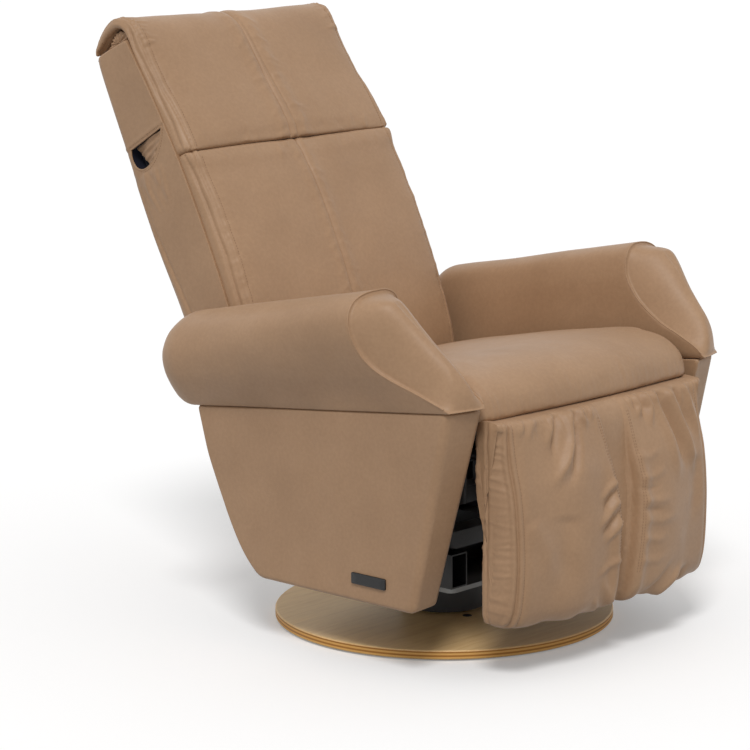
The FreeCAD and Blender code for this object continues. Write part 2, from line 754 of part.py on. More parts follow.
def arm_rear_end():
    """Rounded rear end of an arm pad."""
    wires = []
    for share, size in ARM_END_SHARES:
        y = ARM_REAR_REACH - ARM_END_ROUND * share
        wires.append(arm_wire(y, arm_top(y), ARM_CROWN, ARM_WIDTH, size, ARM_OUTLINE_SHARES))
    return lofted(wires)


def arm_middle():
    """Even part of an arm pad, from its rounded end to its highest point."""
    wires = []
    for y in (ARM_REAR_REACH - ARM_END_ROUND, -ARM_APEX_REACH):
        wires.append(arm_wire(y, arm_top(y), ARM_CROWN, ARM_WIDTH, 1, ARM_OUTLINE_SHARES))
    return lofted(wires)


def arm_front():
    """Front of an arm pad, which slopes from the highest point to a thin tip."""
    tip_top = panel_top(-ARM_TIP_REACH) + ARM_TIP_THICK
    wires = []
    for share in ARM_FRONT_SHARES:
        y = -ARM_APEX_REACH - (ARM_TIP_REACH - ARM_APEX_REACH) * share
        top = ARM_TOP_APEX + (tip_top - ARM_TOP_APEX) * share
        crown = ARM_CROWN + (ARM_TIP_THICK - ARM_CROWN) * share
        width = ARM_WIDTH + (ARM_TIP_WIDTH - ARM_WIDTH) * share * share
        outline = ARM_TIP_SHARES if share == ARM_FRONT_SHARES[-1] else ARM_OUTLINE_SHARES
        wires.append(arm_wire(y, top, crown, width, 1, outline))
    return lofted(wires)


def arm_pad():
    """Bolster with a rounded rear end and a sloping front that ends in a thin tip."""
    return arm_rear_end().fuse(arm_middle()).fuse(arm_front())


# Back pivots on the side panels
def pivot_plate_corners():
    """Corners of the plate that carries the back's pivot pin, as (y, z)."""
    front = BACK_PIVOT_Y - PIVOT_PLATE_LENGTH
    foot = BACK_PIVOT_Z - PIVOT_PLATE_DROP
    reach = PIVOT_PLATE_ROUND
    return [
        (BACK_PIVOT_Y + reach, BACK_PIVOT_Z + reach),
        (front, BACK_PIVOT_Z - reach),
        (front, foot),
        (BACK_PIVOT_Y - reach, foot),
        (BACK_PIVOT_Y + reach, BACK_PIVOT_Z - reach),
    ]


def pivot_screw_places():
    front = BACK_PIVOT_Y - PIVOT_PLATE_LENGTH + SCREW_EDGE
    foot = BACK_PIVOT_Z - PIVOT_PLATE_DROP + SCREW_EDGE
    top = BACK_PIVOT_Z - PIVOT_PLATE_ROUND - SCREW_EDGE
    return [(front, foot), (front, top), (BACK_PIVOT_Y - PIVOT_PLATE_ROUND - SCREW_EDGE, foot)]


def back_pivot_plate():
    """Plate screwed to a panel's inner face, with the pin that the back turns on."""
    inner = PANEL_INNER - PIVOT_PLATE_THICK
    plate = slab(rounded(pivot_plate_corners(), PIVOT_PLATE_THICK), (inner, PANEL_INNER))
    for place in pivot_screw_places():
        plate = plate.cut(bar(SCREW_RADIUS, at(inner - OVERRUN, *place), at(PANEL_INNER + OVERRUN, *place)))
    start = at(inner - PIVOT_PIN_REACH, BACK_PIVOT_Y, BACK_PIVOT_Z)
    return plate.fuse(bar(PIVOT_PIN_RADIUS, start, at(inner, BACK_PIVOT_Y, BACK_PIVOT_Z)))


def screw_places():
    places = list(pivot_screw_places())
    for y in (-CROSS_TUBE_OFFSET, CROSS_TUBE_OFFSET):
        places.extend(end_screw_places(y))
    return places


def screw_head_seat(y, z):
    """Where a screw's head rests: on a pivot plate or on a cross tube's end plate."""
    if (y, z) in pivot_screw_places():
        return PANEL_INNER - PIVOT_PLATE_THICK
    return PANEL_INNER - END_PLATE_THICK


def screw_tip(y, z):
    return screw_head_seat(y, z) + SCREW_LENGTH


def hexagon_head(x, y, z):
    """Six-sided screw head between two places along X."""
    steps = []
    for index in range(SCREW_HEAD_SIDES):
        angle = 2 * math.pi * index / SCREW_HEAD_SIDES
        corner = (y + SCREW_HEAD_RADIUS * math.cos(angle), z + SCREW_HEAD_RADIUS * math.sin(angle))
        steps.append((corner, None))
    return slab(steps, x)


def panel_screws():
    """Screws that hold the chassis and the pivot plates to both side panels."""
    screws = []
    for y, z in screw_places():
        seat = screw_head_seat(y, z)
        head = hexagon_head((seat - SCREW_HEAD_THICK, seat), y, z)
        screw = head.fuse(bar(SCREW_RADIUS, at(seat, y, z), at(screw_tip(y, z), y, z)))
        screws.extend([screw, mirrored(screw)])
    return Part.makeCompound(screws)


# Back, drawn upright with its origin on the pivot axis
def front_line(height):
    """Depth, forward of the pivot, of the cover's curved front edge at a height."""
    centre, radius = circle_through(*front_arc())
    return centre[0] + math.sqrt(radius * radius - (height - centre[1]) ** 2)


def front_arc():
    """Foot, middle and top of the cover's front edge, as (forward, up)."""
    middle = (BACK_HEIGHT - BACK_FOOT) / 2
    bulge = (BACK_FRONT_FOOT + BACK_FRONT_TOP) / 2 + BACK_FRONT_BULGE
    return (BACK_FRONT_FOOT, -BACK_FOOT), (bulge, middle), (BACK_FRONT_TOP, BACK_HEIGHT)


def cover_steps(inset, front):
    """Outline of the back cover, drawn in from its rear, top and foot and moved at the front."""
    top = BACK_HEIGHT - inset
    foot = inset - BACK_FOOT
    rear = BACK_REAR - inset
    corner = COVER_ROUND
    foot_rear = rear * COVER_FOOT_SHARE
    foot_bend = (foot_rear + corner * COVER_FOOT_BEND_SHARES[0], foot + corner * COVER_FOOT_BEND_SHARES[1])
    top_bend = (rear - corner * COVER_TOP_BEND_SHARE, top - corner * COVER_TOP_BEND_SHARE)
    bulge = rear + BACK_REAR_BULGE
    middle = (BACK_HEIGHT + COVER_SHOULDER) / 2
    edge = front_arc()
    return [
        ((-edge[0][0] - front, foot), None),
        ((foot_rear - corner, foot), foot_bend),
        ((rear - corner * COVER_SHOULDER_SHARE, COVER_SHOULDER), (bulge, middle)),
        ((rear, top - corner), top_bend),
        ((rear - corner, top), None),
        ((-edge[2][0] - front, top), (-edge[1][0] - front, edge[1][1])),
    ]


def pocket_steps():
    """Half-moon mouth of a side pocket: a straight top edge and a sagging lower edge."""
    rear = (POCKET_REAR, POCKET_TOP - POCKET_LEAN / 2)
    front = (POCKET_REAR - POCKET_LENGTH, POCKET_TOP + POCKET_LEAN / 2)
    low = (POCKET_REAR - POCKET_LENGTH * POCKET_LOW_SHARE, POCKET_TOP - POCKET_DROP)
    return [(rear, None), (front, low)]


def back_cover():
    """Tray behind and beside the back, open at the front, with a pocket mouth in each side."""
    depths = []
    for index in range(COVER_ROUND_STEPS + 1):
        angle = math.pi / 2 * index / COVER_ROUND_STEPS
        x = BACK_HALF - COVER_ROUND * (1 - math.sin(angle))
        depths.append((x, COVER_ROUND * (1 - math.cos(angle))))
    wires = []
    for x, inset in [(-x, inset) for x, inset in reversed(depths)] + depths:
        wires.append(closed_wire(cover_steps(inset, 0), upright_plane(x)))
    tray = lofted(wires)
    inner = BACK_HALF - COVER_WALL
    tray = tray.cut(slab(cover_steps(COVER_WALL, OVERRUN), (-inner, inner)))
    for side in (-1, 1):
        mouth = slab(pocket_steps(), around(side * BACK_HALF, (COVER_WALL + OVERRUN) * 2))
        tray = tray.cut(mouth)
    reach = BACK_HALF + OVERRUN
    tray = tray.cut(bar(PIVOT_PIN_RADIUS + PIVOT_HOLE_GAP, at(-reach, 0, 0), at(reach, 0, 0)))
    x = around(DRIVE_OFFSET, EYE_WIDTH + (LEVER_SIDE_GAP + LEVER_PLATE_THICK + LEVER_WALL) * 2)
    y = (-LEVER_WINDOW_FRONT, BACK_REAR - COVER_WALL)
    z = (-BACK_FOOT - OVERRUN, COVER_WALL + OVERRUN - BACK_FOOT)
    return on_back(tray.cut(box(x, y, z)))


def pocket_pouch():
    """Cloth pouch behind a pocket mouth, open towards the cover's side wall."""
    outer = BACK_HALF - COVER_WALL
    y = (POCKET_REAR - POCKET_LENGTH - POUCH_WALL * 2, POCKET_REAR + POUCH_WALL * 2)
    z = (POUCH_FOOT, POCKET_TOP + POUCH_HEAD_ROOM)
    pouch = box((outer - POUCH_DEPTH, outer), y, z)
    inside_y = (y[0] + POUCH_WALL, y[1] - POUCH_WALL)
    inside_z = (z[0] + POUCH_WALL, z[1] - POUCH_WALL)
    return on_back(pouch.cut(box((outer - POUCH_DEPTH + POUCH_WALL, outer + OVERRUN), inside_y, inside_z)))


def back_rib():
    """Plywood rib shaped like the cover's front edge and bored for the torque tube."""
    foot = COVER_WALL + LYING_GAP - BACK_FOOT
    top = BACK_HEIGHT - COVER_WALL - RIB_TOP_GAP
    middle = (foot + top) / 2
    steps = [
        ((-front_line(foot), foot), None),
        ((RIB_DEPTH - front_line(foot), foot), (RIB_DEPTH - front_line(middle), middle)),
        ((RIB_DEPTH - front_line(top), top), None),
        ((-front_line(top), top), (-front_line(middle), middle)),
    ]
    rib = slab(steps, around(RIB_OFFSET, RIB_THICK))
    return on_back(rib.cut(bar(TORQUE_TUBE_RADIUS, at(0, 0, 0), at(BACK_HALF, 0, 0))))


def back_rail_heights():
    """Heights of the cross rails between the ribs."""
    lowest = TORQUE_TUBE_RADIUS + BACK_RAIL_HEIGHT
    highest = BACK_HEIGHT - COVER_WALL - RIB_TOP_GAP - BACK_RAIL_HEIGHT
    return [lowest, (lowest + highest) / 2, highest]


def back_rails():
    """Wooden rails that join the ribs."""
    half = RIB_OFFSET - RIB_THICK / 2
    rails = []
    for height in back_rail_heights():
        middle = RIB_DEPTH / 2 - front_line(height)
        rails.append(box((-half, half), around(middle, BACK_RAIL_DEPTH), around(height, BACK_RAIL_HEIGHT)))
    return on_back(Part.makeCompound(rails))


def back_webbing():
    """Elastic straps across the front edges of the ribs."""
    half = RIB_OFFSET + RIB_THICK / 2
    low = WEB_WIDTH
    high = BACK_HEIGHT - WEB_WIDTH - RIB_TOP_GAP
    straps = []
    for index in range(BACK_WEB_COUNT):
        middle = low + (high - low) * index / (BACK_WEB_COUNT - 1)
        foot = middle - WEB_WIDTH / 2
        top = middle + WEB_WIDTH / 2
        steps = [
            ((-front_line(foot), foot), (-front_line(middle), middle)),
            ((-front_line(top), top), None),
            ((-front_line(top) - WEB_THICK, top), (-front_line(middle) - WEB_THICK, middle)),
            ((-front_line(foot) - WEB_THICK, foot), None),
        ]
        straps.append(slab(steps, (-half, half)))
    return on_back(Part.makeCompound(straps))


def back_torque_tube():
    """Steel tube on the pivot axis that joins the ribs and carries the lever."""
    half = BACK_HALF - COVER_WALL - TORQUE_TUBE_END_GAP
    tube = bar(TORQUE_TUBE_RADIUS, at(-half, 0, 0), at(half, 0, 0))
    bore = bar(PIVOT_PIN_RADIUS + RUNNING_FIT, at(-half - OVERRUN, 0, 0), at(half + OVERRUN, 0, 0))
    return on_back(tube.cut(bore))


def pad_rear(height):
    """Depth of the pads' rear face, on the webbing."""
    return -front_line(height) - WEB_THICK - LYING_GAP


def back_pad_steps(fullness):
    """Outline of the lower pad: rear face on the webbing, front face swelling with the fullness."""
    foot = -PAD_FOOT
    top = PAD_SEAM - SEAM_GAP
    middle = (foot + top) / 2
    thick = PAD_THICK * fullness

    def place(point):
        height = foot + (top - foot) * point[0]
        return pad_rear(height) - thick * point[1], height
    front = share_steps(BACK_PAD_SHARES, place)
    return [((pad_rear(foot), foot), None)] + front + [((pad_rear(top), top), (pad_rear(middle), middle))]


def back_pad():
    wires = []
    for share, fullness in both_sides(BACK_FULL_SHARES):
        wires.append(closed_wire(back_pad_steps(fullness), upright_plane(share * BACK_HALF)))
    return on_back(lofted(wires))


def head_pad_steps(fullness):
    """Outline of the head pad: a slab above the seam that rolls over the top and down behind it."""
    foot = PAD_SEAM
    top = BACK_HEIGHT
    middle = (foot + top) / 2
    thick = PAD_THICK * fullness
    top_thick = HEAD_PAD_TOP_THICK * (HEAD_TOP_LEAST_SHARE + (1 - HEAD_TOP_LEAST_SHARE) * fullness)
    ridge = top + WRAP_RISE
    under = ridge - WRAP_THICK
    rear = BACK_REAR - WRAP_REAR_STEP
    inner = rear - WRAP_FOOT
    crown_y = (rear + pad_rear(top)) * WRAP_CROWN_SHARE
    under_up = top + (under - top) * WRAP_UNDER_SHARES[1]

    def place(point):
        height = foot + (top - foot) * point[0]
        return pad_rear(height) - (thick + (top_thick - thick) * point[0]) * point[1], height
    front_bend = (pad_rear(top) - top_thick * WRAP_FRONT_SHARES[0], top + WRAP_RISE * WRAP_FRONT_SHARES[1])
    roll = [
        ((pad_rear(top) - top_thick, top), front_bend),
        ((crown_y, ridge), (rear * WRAP_REAR_SHARES[0], top + WRAP_RISE * WRAP_REAR_SHARES[1])),
        ((rear, top), None),
        ((inner, top), (inner * WRAP_UNDER_SHARES[0], under_up)),
        ((crown_y, under), (pad_rear(top) * WRAP_UNDER_SHARES[0], under_up)),
        ((pad_rear(top), top), (pad_rear(middle), middle)),
    ]
    return [((pad_rear(foot), foot), None)] + share_steps(HEAD_PAD_SHARES, place) + roll


def head_pad():
    wires = []
    for share, fullness in both_sides(BACK_FULL_SHARES):
        wires.append(closed_wire(head_pad_steps(fullness), upright_plane(share * BACK_HALF)))
    return on_back(lofted(wires))


# Leg rest, drawn hanging with its origin on the pivot axis
def leg_steps(fullness, length_share):
    """Outline of the leg pad: round about the pivot at the top, bulging in front, rounded at the foot."""
    radius = LEG_TOP_RADIUS * (LEG_TOP_LEAST_SHARE + (1 - LEG_TOP_LEAST_SHARE) * fullness)
    length = LEG_LENGTH * length_share
    depth = LEG_DEPTH * fullness
    start = math.asin(BOARD_FRONT / radius)
    finish = -math.radians(LEG_TOP_ANGLE)
    middle = (start + finish) / 2
    front = radius * math.sin(finish)
    shoulder = ((front - depth) / 2 - depth * LEG_SHOULDER_SHARES[0], -length * LEG_SHOULDER_SHARES[1])
    top = [
        ((BOARD_FRONT, radius * math.cos(start)), (radius * math.sin(middle), radius * math.cos(middle))),
        ((front, radius * math.cos(finish)), shoulder),
    ]
    face = share_steps(LEG_FRONT_SHARES, lambda point: (-depth * point[0], -length * point[1]))
    return top + face + [((BOARD_FRONT, -length * LEG_FOOT_SHARE), None)]


def hinge_sides():
    """Clear width between the cheeks of a leg rest bracket, and their outer width."""
    inner = HINGE_ARM_THICK + HINGE_SIDE_GAP * 2
    return inner, inner + BRACKET_WALL * 2


def legrest_pad():
    wires = []
    table = [row + (length,) for row, length in zip(LEG_FULL_SHARES, LEG_LENGTH_SHARES)]
    for share, fullness, length in both_sides(table):
        wires.append(closed_wire(leg_steps(fullness, length), upright_plane(share * LEG_HALF)))
    pad = lofted(wires)
    width = hinge_sides()[1] + HINGE_SLOT_SIDE * 2
    low = -BOARD_TOP_DROP - BRACKET_DROP - HINGE_SLOT_SIDE
    for side in (-1, 1):
        x = around(side * HINGE_OFFSET, width)
        upper = (-BOARD_TOP_DROP, LEG_TOP_RADIUS + OVERRUN)
        pad = pad.cut(box(x, (-HINGE_SLOT_FRONT, BOARD_FRONT + OVERRUN), upper))
        pad = pad.cut(box(x, (-HINGE_BOSS_RADIUS - HINGE_SLOT_SIDE, BOARD_FRONT + OVERRUN), (low, 0)))
    return on_leg(pad)


def legrest_board():
    """Plywood board behind the leg pad."""
    half = LEG_HALF - BOARD_SIDE_MARGIN
    foot = BOARD_FOOT_MARGIN - LEG_LENGTH
    corners = [(-half, foot), (half, foot), (half, -BOARD_TOP_DROP), (-half, -BOARD_TOP_DROP)]
    feet = rounded(corners, BOARD_FOOT_CORNER)[:4]
    steps = feet + rounded(corners, BOARD_TOP_CORNER)[4:]
    face = Part.Face(closed_wire(steps, cross_plane(BOARD_FRONT)))
    return on_leg(face.extrude(at(0, BOARD_THICK, 0)))


def legrest_bracket():
    """Channel on the board's front whose two cheeks reach up to the hinge pin."""
    inner, outer = hinge_sides()
    top = -BOARD_TOP_DROP
    low = top - BRACKET_DROP
    cheek_steps = rounded([
        (BOARD_FRONT, low),
        (BOARD_FRONT, top),
        (HINGE_BOSS_RADIUS, HINGE_BOSS_RADIUS),
        (-HINGE_BOSS_RADIUS, HINGE_BOSS_RADIUS),
        (-HINGE_BOSS_RADIUS, -HINGE_BOSS_RADIUS),
    ], BRACKET_WALL)
    bracket = box(around(HINGE_OFFSET, outer), (BOARD_FRONT - BRACKET_WALL, BOARD_FRONT), (low, top))
    for side in (-1, 1):
        middle = HINGE_OFFSET + side * (inner + BRACKET_WALL) / 2
        bracket = bracket.fuse(slab(cheek_steps, around(middle, BRACKET_WALL)))
    hole = bar(HINGE_PIN_RADIUS, at(HINGE_OFFSET - outer, 0, 0), at(HINGE_OFFSET + outer, 0, 0))
    return on_leg(bracket.cut(hole))


def legrest_pins():
    """Hinge pins, held in the brackets' cheeks."""
    outer = hinge_sides()[1]
    pins = []
    for side in (-1, 1):
        x = around(side * HINGE_OFFSET, outer)
        pins.append(bar(HINGE_PIN_RADIUS, at(x[0], 0, 0), at(x[1], 0, 0)))
    return on_leg(Part.makeCompound(pins))


def hinge_arm():
    """Swan-necked arm from the seat's front tube to the leg rest's hinge pin."""
    front = seat_point(SEAT_FRAME_FRONT, -SEAT_FRAME_DEPTH)
    rear = seat_point(SEAT_FRAME_FRONT + SEAT_TUBE, -SEAT_FRAME_DEPTH)
    boss = (LEG_PIVOT_Y, LEG_PIVOT_Z)
    lean = math.atan2(rear[1] - HINGE_BOSS_RADIUS - boss[1], rear[0] - boss[0])
    lift = (-math.sin(lean) * HINGE_BOSS_RADIUS, math.cos(lean) * HINGE_BOSS_RADIUS)
    upper = (boss[0] + lift[0], boss[1] + lift[1])
    lower = (boss[0] - lift[0], boss[1] - lift[1])
    nose = (boss[0] - lift[1], boss[1] + lift[0])
    steps = [(upper, nose), (lower, None), (rear, None), (front, None)]
    arm = slab(steps, around(HINGE_OFFSET, HINGE_ARM_THICK))
    start = at(HINGE_OFFSET - HINGE_ARM_THICK, *boss)
    end = at(HINGE_OFFSET + HINGE_ARM_THICK, *boss)
    return arm.cut(bar(HINGE_PIN_RADIUS + RUNNING_FIT, start, end))


# Linear drives: a rod slides out of a housing, and its pin works in a slotted lever
def lever_half_swing(swing):
    return math.radians(swing) / 2


def drive_stroke(length, swing):
    """Travel of a rod whose pin keeps nearest to its slot at a constant rate per angle."""
    half = lever_half_swing(swing)
    return 2 * length * (half + RATE_SHARE * (math.tan(half) - half))


def leg_stroke():
    return drive_stroke(LEG_LEVER_LENGTH, LEG_LIFT_ANGLE)


def back_stroke():
    return drive_stroke(BACK_LEVER_LENGTH, BACK_RECLINE_ANGLE)


def leg_pin_rest():
    """Rest place of the leg drive's pin, as (y, z)."""
    return LEG_PIVOT_Y + leg_stroke() / 2, LEG_PIVOT_Z - LEG_LEVER_LENGTH


def back_pin_rest():
    """Rest place of the back drive's pin, as (y, z)."""
    return BACK_PIVOT_Y + back_stroke() / 2, BACK_PIVOT_Z - BACK_LEVER_LENGTH


def leg_drive_mouth():
    """Place along Y of the leg drive's mouth, behind the pulled-in pin."""
    return leg_pin_rest()[0] + DRIVE_MOUTH_GAP


def back_drive_mouth():
    """Place along Y of the back drive's mouth, in front of the pulled-in pin."""
    return back_pin_rest()[0] - back_stroke() - DRIVE_MOUTH_GAP


def drive_length(stroke):
    return stroke + DRIVE_ROD_HOLD + DRIVE_END_WALL


def drive_housing(x, mouth, z, way, stroke):
    """Round housing with a blind bore for the rod. Way is the sense of Y in which the rod comes out."""
    end = mouth - way * drive_length(stroke)
    bore_end = end + way * DRIVE_END_WALL
    housing = bar(DRIVE_RADIUS, at(x, end, z), at(x, mouth, z))
    bore = bar(DRIVE_ROD_RADIUS + RUNNING_FIT, at(x, bore_end, z), at(x, mouth + way * OVERRUN, z))
    return housing.cut(bore)


def drive_motor(x, mouth, z, way, stroke):
    """Gearbox on the housing's end and the motor under it."""
    start = mouth - way * drive_length(stroke)
    end = start - way * GEARBOX_LENGTH
    y = (min(start, end), max(start, end))
    gearbox = box(around(x, GEARBOX_WIDTH), y, around(z, GEARBOX_HEIGHT))
    gearbox = gearbox.makeFillet(DRIVE_END_WALL, edges_along(gearbox, at(0, 1, 0)))
    middle = (start + end) / 2
    bottom = z - GEARBOX_HEIGHT / 2
    return gearbox.fuse(bar(MOTOR_RADIUS, at(x, middle, bottom - MOTOR_LENGTH), at(x, middle, z)))


def drive_rod(x, pin_y, z, way, rod_length):
    """Rod with an eye for the pin at its outer end."""
    tail = pin_y - way * rod_length
    shoulder = pin_y - way * NECK_LENGTH
    rod = bar(DRIVE_ROD_RADIUS, at(x, tail, z), at(x, shoulder, z))
    eye = bar(EYE_RADIUS, at(x - EYE_WIDTH / 2, pin_y, z), at(x + EYE_WIDTH / 2, pin_y, z))
    neck = box(around(x, EYE_WIDTH), (min(pin_y, shoulder), max(pin_y, shoulder)), around(z, NECK_HEIGHT))
    hole = bar(DRIVE_PIN_RADIUS, at(x - EYE_WIDTH, pin_y, z), at(x + EYE_WIDTH, pin_y, z))
    return rod.fuse(neck).fuse(eye).cut(hole)


def drive_pin(x, pin_y, z):
    reach = EYE_WIDTH / 2 + LEVER_SIDE_GAP + LEVER_PLATE_THICK + LEVER_SIDE_GAP
    return bar(DRIVE_PIN_RADIUS, at(x - reach, pin_y, z), at(x + reach, pin_y, z))


def drive_clamp(x, y, z):
    """Ring round a drive's housing, hung from a tube of the seat frame."""
    top = SEAT_REAR_Z + SEAT_LENGTH * math.sin(math.radians(SEAT_TILT))
    block = box(around(x, CLAMP_WIDTH), around(y, CLAMP_LENGTH), (z, top))
    ring = bar(DRIVE_RADIUS + CLAMP_WALL, at(x, y - CLAMP_LENGTH / 2, z), at(x, y + CLAMP_LENGTH / 2, z))
    bore = bar(DRIVE_RADIUS, at(x, y - CLAMP_LENGTH, z), at(x, y + CLAMP_LENGTH, z))
    return below_seat_frame(block.fuse(ring).cut(bore))


def leg_drive(piece):
    """One piece of the leg rest's drive, which pushes forward."""
    y, z = leg_pin_rest()
    if piece == "rod":
        return drive_rod(-DRIVE_OFFSET, y, z, -1, DRIVE_MOUTH_GAP + leg_stroke() + DRIVE_ROD_HOLD)
    if piece == "pin":
        return drive_pin(-DRIVE_OFFSET, y, z)
    if piece == "clamp":
        return drive_clamp(-DRIVE_OFFSET, leg_drive_mouth() + LEG_CLAMP_SETBACK, z)
    make = {"housing": drive_housing, "motor": drive_motor}[piece]
    return make(-DRIVE_OFFSET, leg_drive_mouth(), z, -1, leg_stroke())


def back_drive(piece):
    """One piece of the back's drive, which lets the back lean as its rod is pulled in."""
    y, z = back_pin_rest()
    if piece == "rod":
        return drive_rod(DRIVE_OFFSET, y, z, 1, DRIVE_MOUTH_GAP + back_stroke() + DRIVE_ROD_HOLD)
    if piece == "pin":
        return drive_pin(DRIVE_OFFSET, y, z)
    if piece == "clamp":
        return drive_clamp(DRIVE_OFFSET, seat_point(-SEAT_TUBE / 2, -SEAT_FRAME_DEPTH)[0], z)
    make = {"housing": drive_housing, "motor": drive_motor}[piece]
    return make(DRIVE_OFFSET, back_drive_mouth(), z, 1, back_stroke())


def slot_ends(length, swing, lean):
    """Nearest and farthest place of a pin in its lever, as (y, z) from the pivot."""
    far = length / math.cos(lever_half_swing(swing))
    way = (math.sin(lean), -math.cos(lean))
    near_end = length - SLOT_END_GAP
    far_end = far + SLOT_END_GAP
    return (way[0] * near_end, way[1] * near_end), (way[0] * far_end, way[1] * far_end)


def lever_plates(x, steps):
    """Two like plates, one each side of a rod's eye."""
    inner = EYE_WIDTH / 2 + LEVER_SIDE_GAP
    outer = inner + LEVER_PLATE_THICK
    return slab(steps, (x - outer, x - inner)), slab(steps, (x + inner, x + outer))


def lever_slot(x, ends, play):
    reach = EYE_WIDTH + LEVER_PLATE_THICK * 2
    return slab(stadium(ends[0], ends[1], DRIVE_PIN_RADIUS + play), around(x, reach * 2))


def back_lever():
    """Pair of slotted plates on the torque tube, reaching down to the drive's pin."""
    lean = math.radians(BACK_TILT) + lever_half_swing(BACK_RECLINE_ANGLE)
    ends = slot_ends(BACK_LEVER_LENGTH, BACK_RECLINE_ANGLE, lean)
    radius = DRIVE_PIN_RADIUS + BACK_SLOT_PLAY + LEVER_WALL
    wide = TORQUE_TUBE_RADIUS + LEVER_WALL
    plates = []
    for plate in lever_plates(DRIVE_OFFSET, stadium((0, 0), ends[1], radius)):
        x = plate.BoundBox.XMin
        plate = plate.fuse(bar(wide, at(x, 0, 0), at(x + LEVER_PLATE_THICK, 0, 0)))
        plate = plate.cut(lever_slot(DRIVE_OFFSET, ends, BACK_SLOT_PLAY))
        plates.append(plate.cut(bar(TORQUE_TUBE_RADIUS, at(0, 0, 0), at(BACK_HALF, 0, 0))))
    return on_back(Part.makeCompound(plates))


def legrest_lever():
    """Slotted lug on the back of the leg rest's board."""
    ends = slot_ends(LEG_LEVER_LENGTH, LEG_LIFT_ANGLE, lever_half_swing(LEG_LIFT_ANGLE))
    radius = DRIVE_PIN_RADIUS + LEG_SLOT_PLAY + LEVER_WALL
    outer = EYE_WIDTH / 2 + LEVER_SIDE_GAP + LEVER_PLATE_THICK
    top = ends[0][1] + radius * 2
    foot = ends[1][1] - radius * 2
    x = around(-DRIVE_OFFSET, (outer + LUG_BASE_MARGIN) * 2)
    base = box(x, (BOARD_REAR, BOARD_REAR + LUG_BASE_THICK), (foot, top))
    web = [((BOARD_REAR, foot), None), (ends[1], None), (ends[0], None), ((BOARD_REAR, top), None)]
    lever = base
    for plate, gusset in zip(lever_plates(-DRIVE_OFFSET, stadium(ends[0], ends[1], radius)),
                             lever_plates(-DRIVE_OFFSET, web)):
        lever = lever.fuse(plate).fuse(gusset)
    front = box(around(-DRIVE_OFFSET, (outer + OVERRUN) * 2), (0, BOARD_REAR), (foot, 0))
    lever = lever.cut(front)
    return on_leg(lever.cut(lever_slot(-DRIVE_OFFSET, ends, LEG_SLOT_PLAY)))


# Electrics
def control_unit():
    """Closed housing on the plate, with a recess at the rear for the mains inlet."""
    rear = PLATE_DEPTH / 2 - CONTROL_REAR_MARGIN
    z = (PLATE_TOP, PLATE_TOP + CONTROL_HEIGHT)
    unit = box(around(0, CONTROL_WIDTH), (rear - CONTROL_DEPTH, rear), z)
    unit = unit.makeFillet(CONTROL_ROUND, edges_along(unit, at(0, 0, 1)))
    inlet_z = around(PLATE_TOP + CONTROL_HEIGHT / 2, INLET_HEIGHT)
    return unit.cut(box(around(0, INLET_WIDTH), (rear - INLET_DEPTH, rear + OVERRUN), inlet_z))


def mains_inlet():
    """Socket with three prongs, let into the control unit."""
    rear = PLATE_DEPTH / 2 - CONTROL_REAR_MARGIN
    middle = PLATE_TOP + CONTROL_HEIGHT / 2
    shell = box(around(0, INLET_WIDTH), (rear - INLET_DEPTH, rear), around(middle, INLET_HEIGHT))
    floor = rear - INLET_DEPTH + INLET_FRAME / 2
    hollow_x = around(0, INLET_WIDTH - INLET_FRAME)
    hollow_z = around(middle, INLET_HEIGHT - INLET_FRAME)
    shell = shell.cut(box(hollow_x, (floor, rear + OVERRUN), hollow_z))
    for index in (-1, 0, 1):
        x = index * PRONG_SPACING
        z = middle + PRONG_RADIUS * (1 - abs(index))
        shell = shell.fuse(bar(PRONG_RADIUS, at(x, floor, z), at(x, floor + PRONG_LENGTH, z)))
    return shell


def model():
    """Every node by its name."""
    nodes = {
        "floor_pad": floor_pad(),
        "base_disc": base_disc(),
        "base_column": base_column(),
        "base_bolts": base_bolts(),
        "swivel_bush": swivel_bush(),
        "thrust_washer": thrust_washer(),
        "swivel_spindle": swivel_spindle(),
        "swivel_plate": swivel_plate(),
        "column_collar": column_collar(),
        "front_cross_tube": cross_tube(-CROSS_TUBE_OFFSET),
        "rear_cross_tube": cross_tube(CROSS_TUBE_OFFSET),
        "seat_posts": seat_posts(),
        "seat_front_tube": seat_cross_tube(SEAT_FRAME_FRONT),
        "seat_middle_tube": seat_cross_tube(leg_drive_support()),
        "seat_rear_tube": seat_cross_tube(-SEAT_TUBE),
        "seat_webbing": seat_webbing(),
        "seat_cushion": seat_cushion(),
        "rear_lining": rear_lining(),
        "panel_screws": panel_screws(),
        "control_unit": control_unit(),
        "mains_inlet": mains_inlet(),
        "back_torque_tube": back_torque_tube(),
        "back_lever": back_lever(),
        "back_rails": back_rails(),
        "back_webbing": back_webbing(),
        "back_cover": back_cover(),
        "back_pad": back_pad(),
        "head_pad": head_pad(),
        "legrest_pad": legrest_pad(),
        "legrest_board": legrest_board(),
        "legrest_pins": legrest_pins(),
        "legrest_lever": legrest_lever(),
    }
    for piece in ("housing", "motor", "clamp", "rod", "pin"):
        nodes["back_drive_" + piece] = back_drive(piece)
        nodes["leg_drive_" + piece] = leg_drive(piece)
    pairs = {
        "chassis_rail": chassis_rail(),
        "seat_side_tube": seat_side_tube(),
        "side_panel": side_panel(),
        "arm_pad": arm_pad(),
        "back_pivot_plate": back_pivot_plate(),
        "back_rib": back_rib(),
        "side_pocket": pocket_pouch(),
        "legrest_hinge_arm": hinge_arm(),
        "legrest_bracket": legrest_bracket(),
    }
    for name, shape in pairs.items():
        nodes["left_" + name] = shape
        nodes["right_" + name] = mirrored(shape)
    return nodes


os.makedirs("parts", exist_ok=True)
for name, shape in model().items():
    shape.exportStep("parts/" + name + ".step")
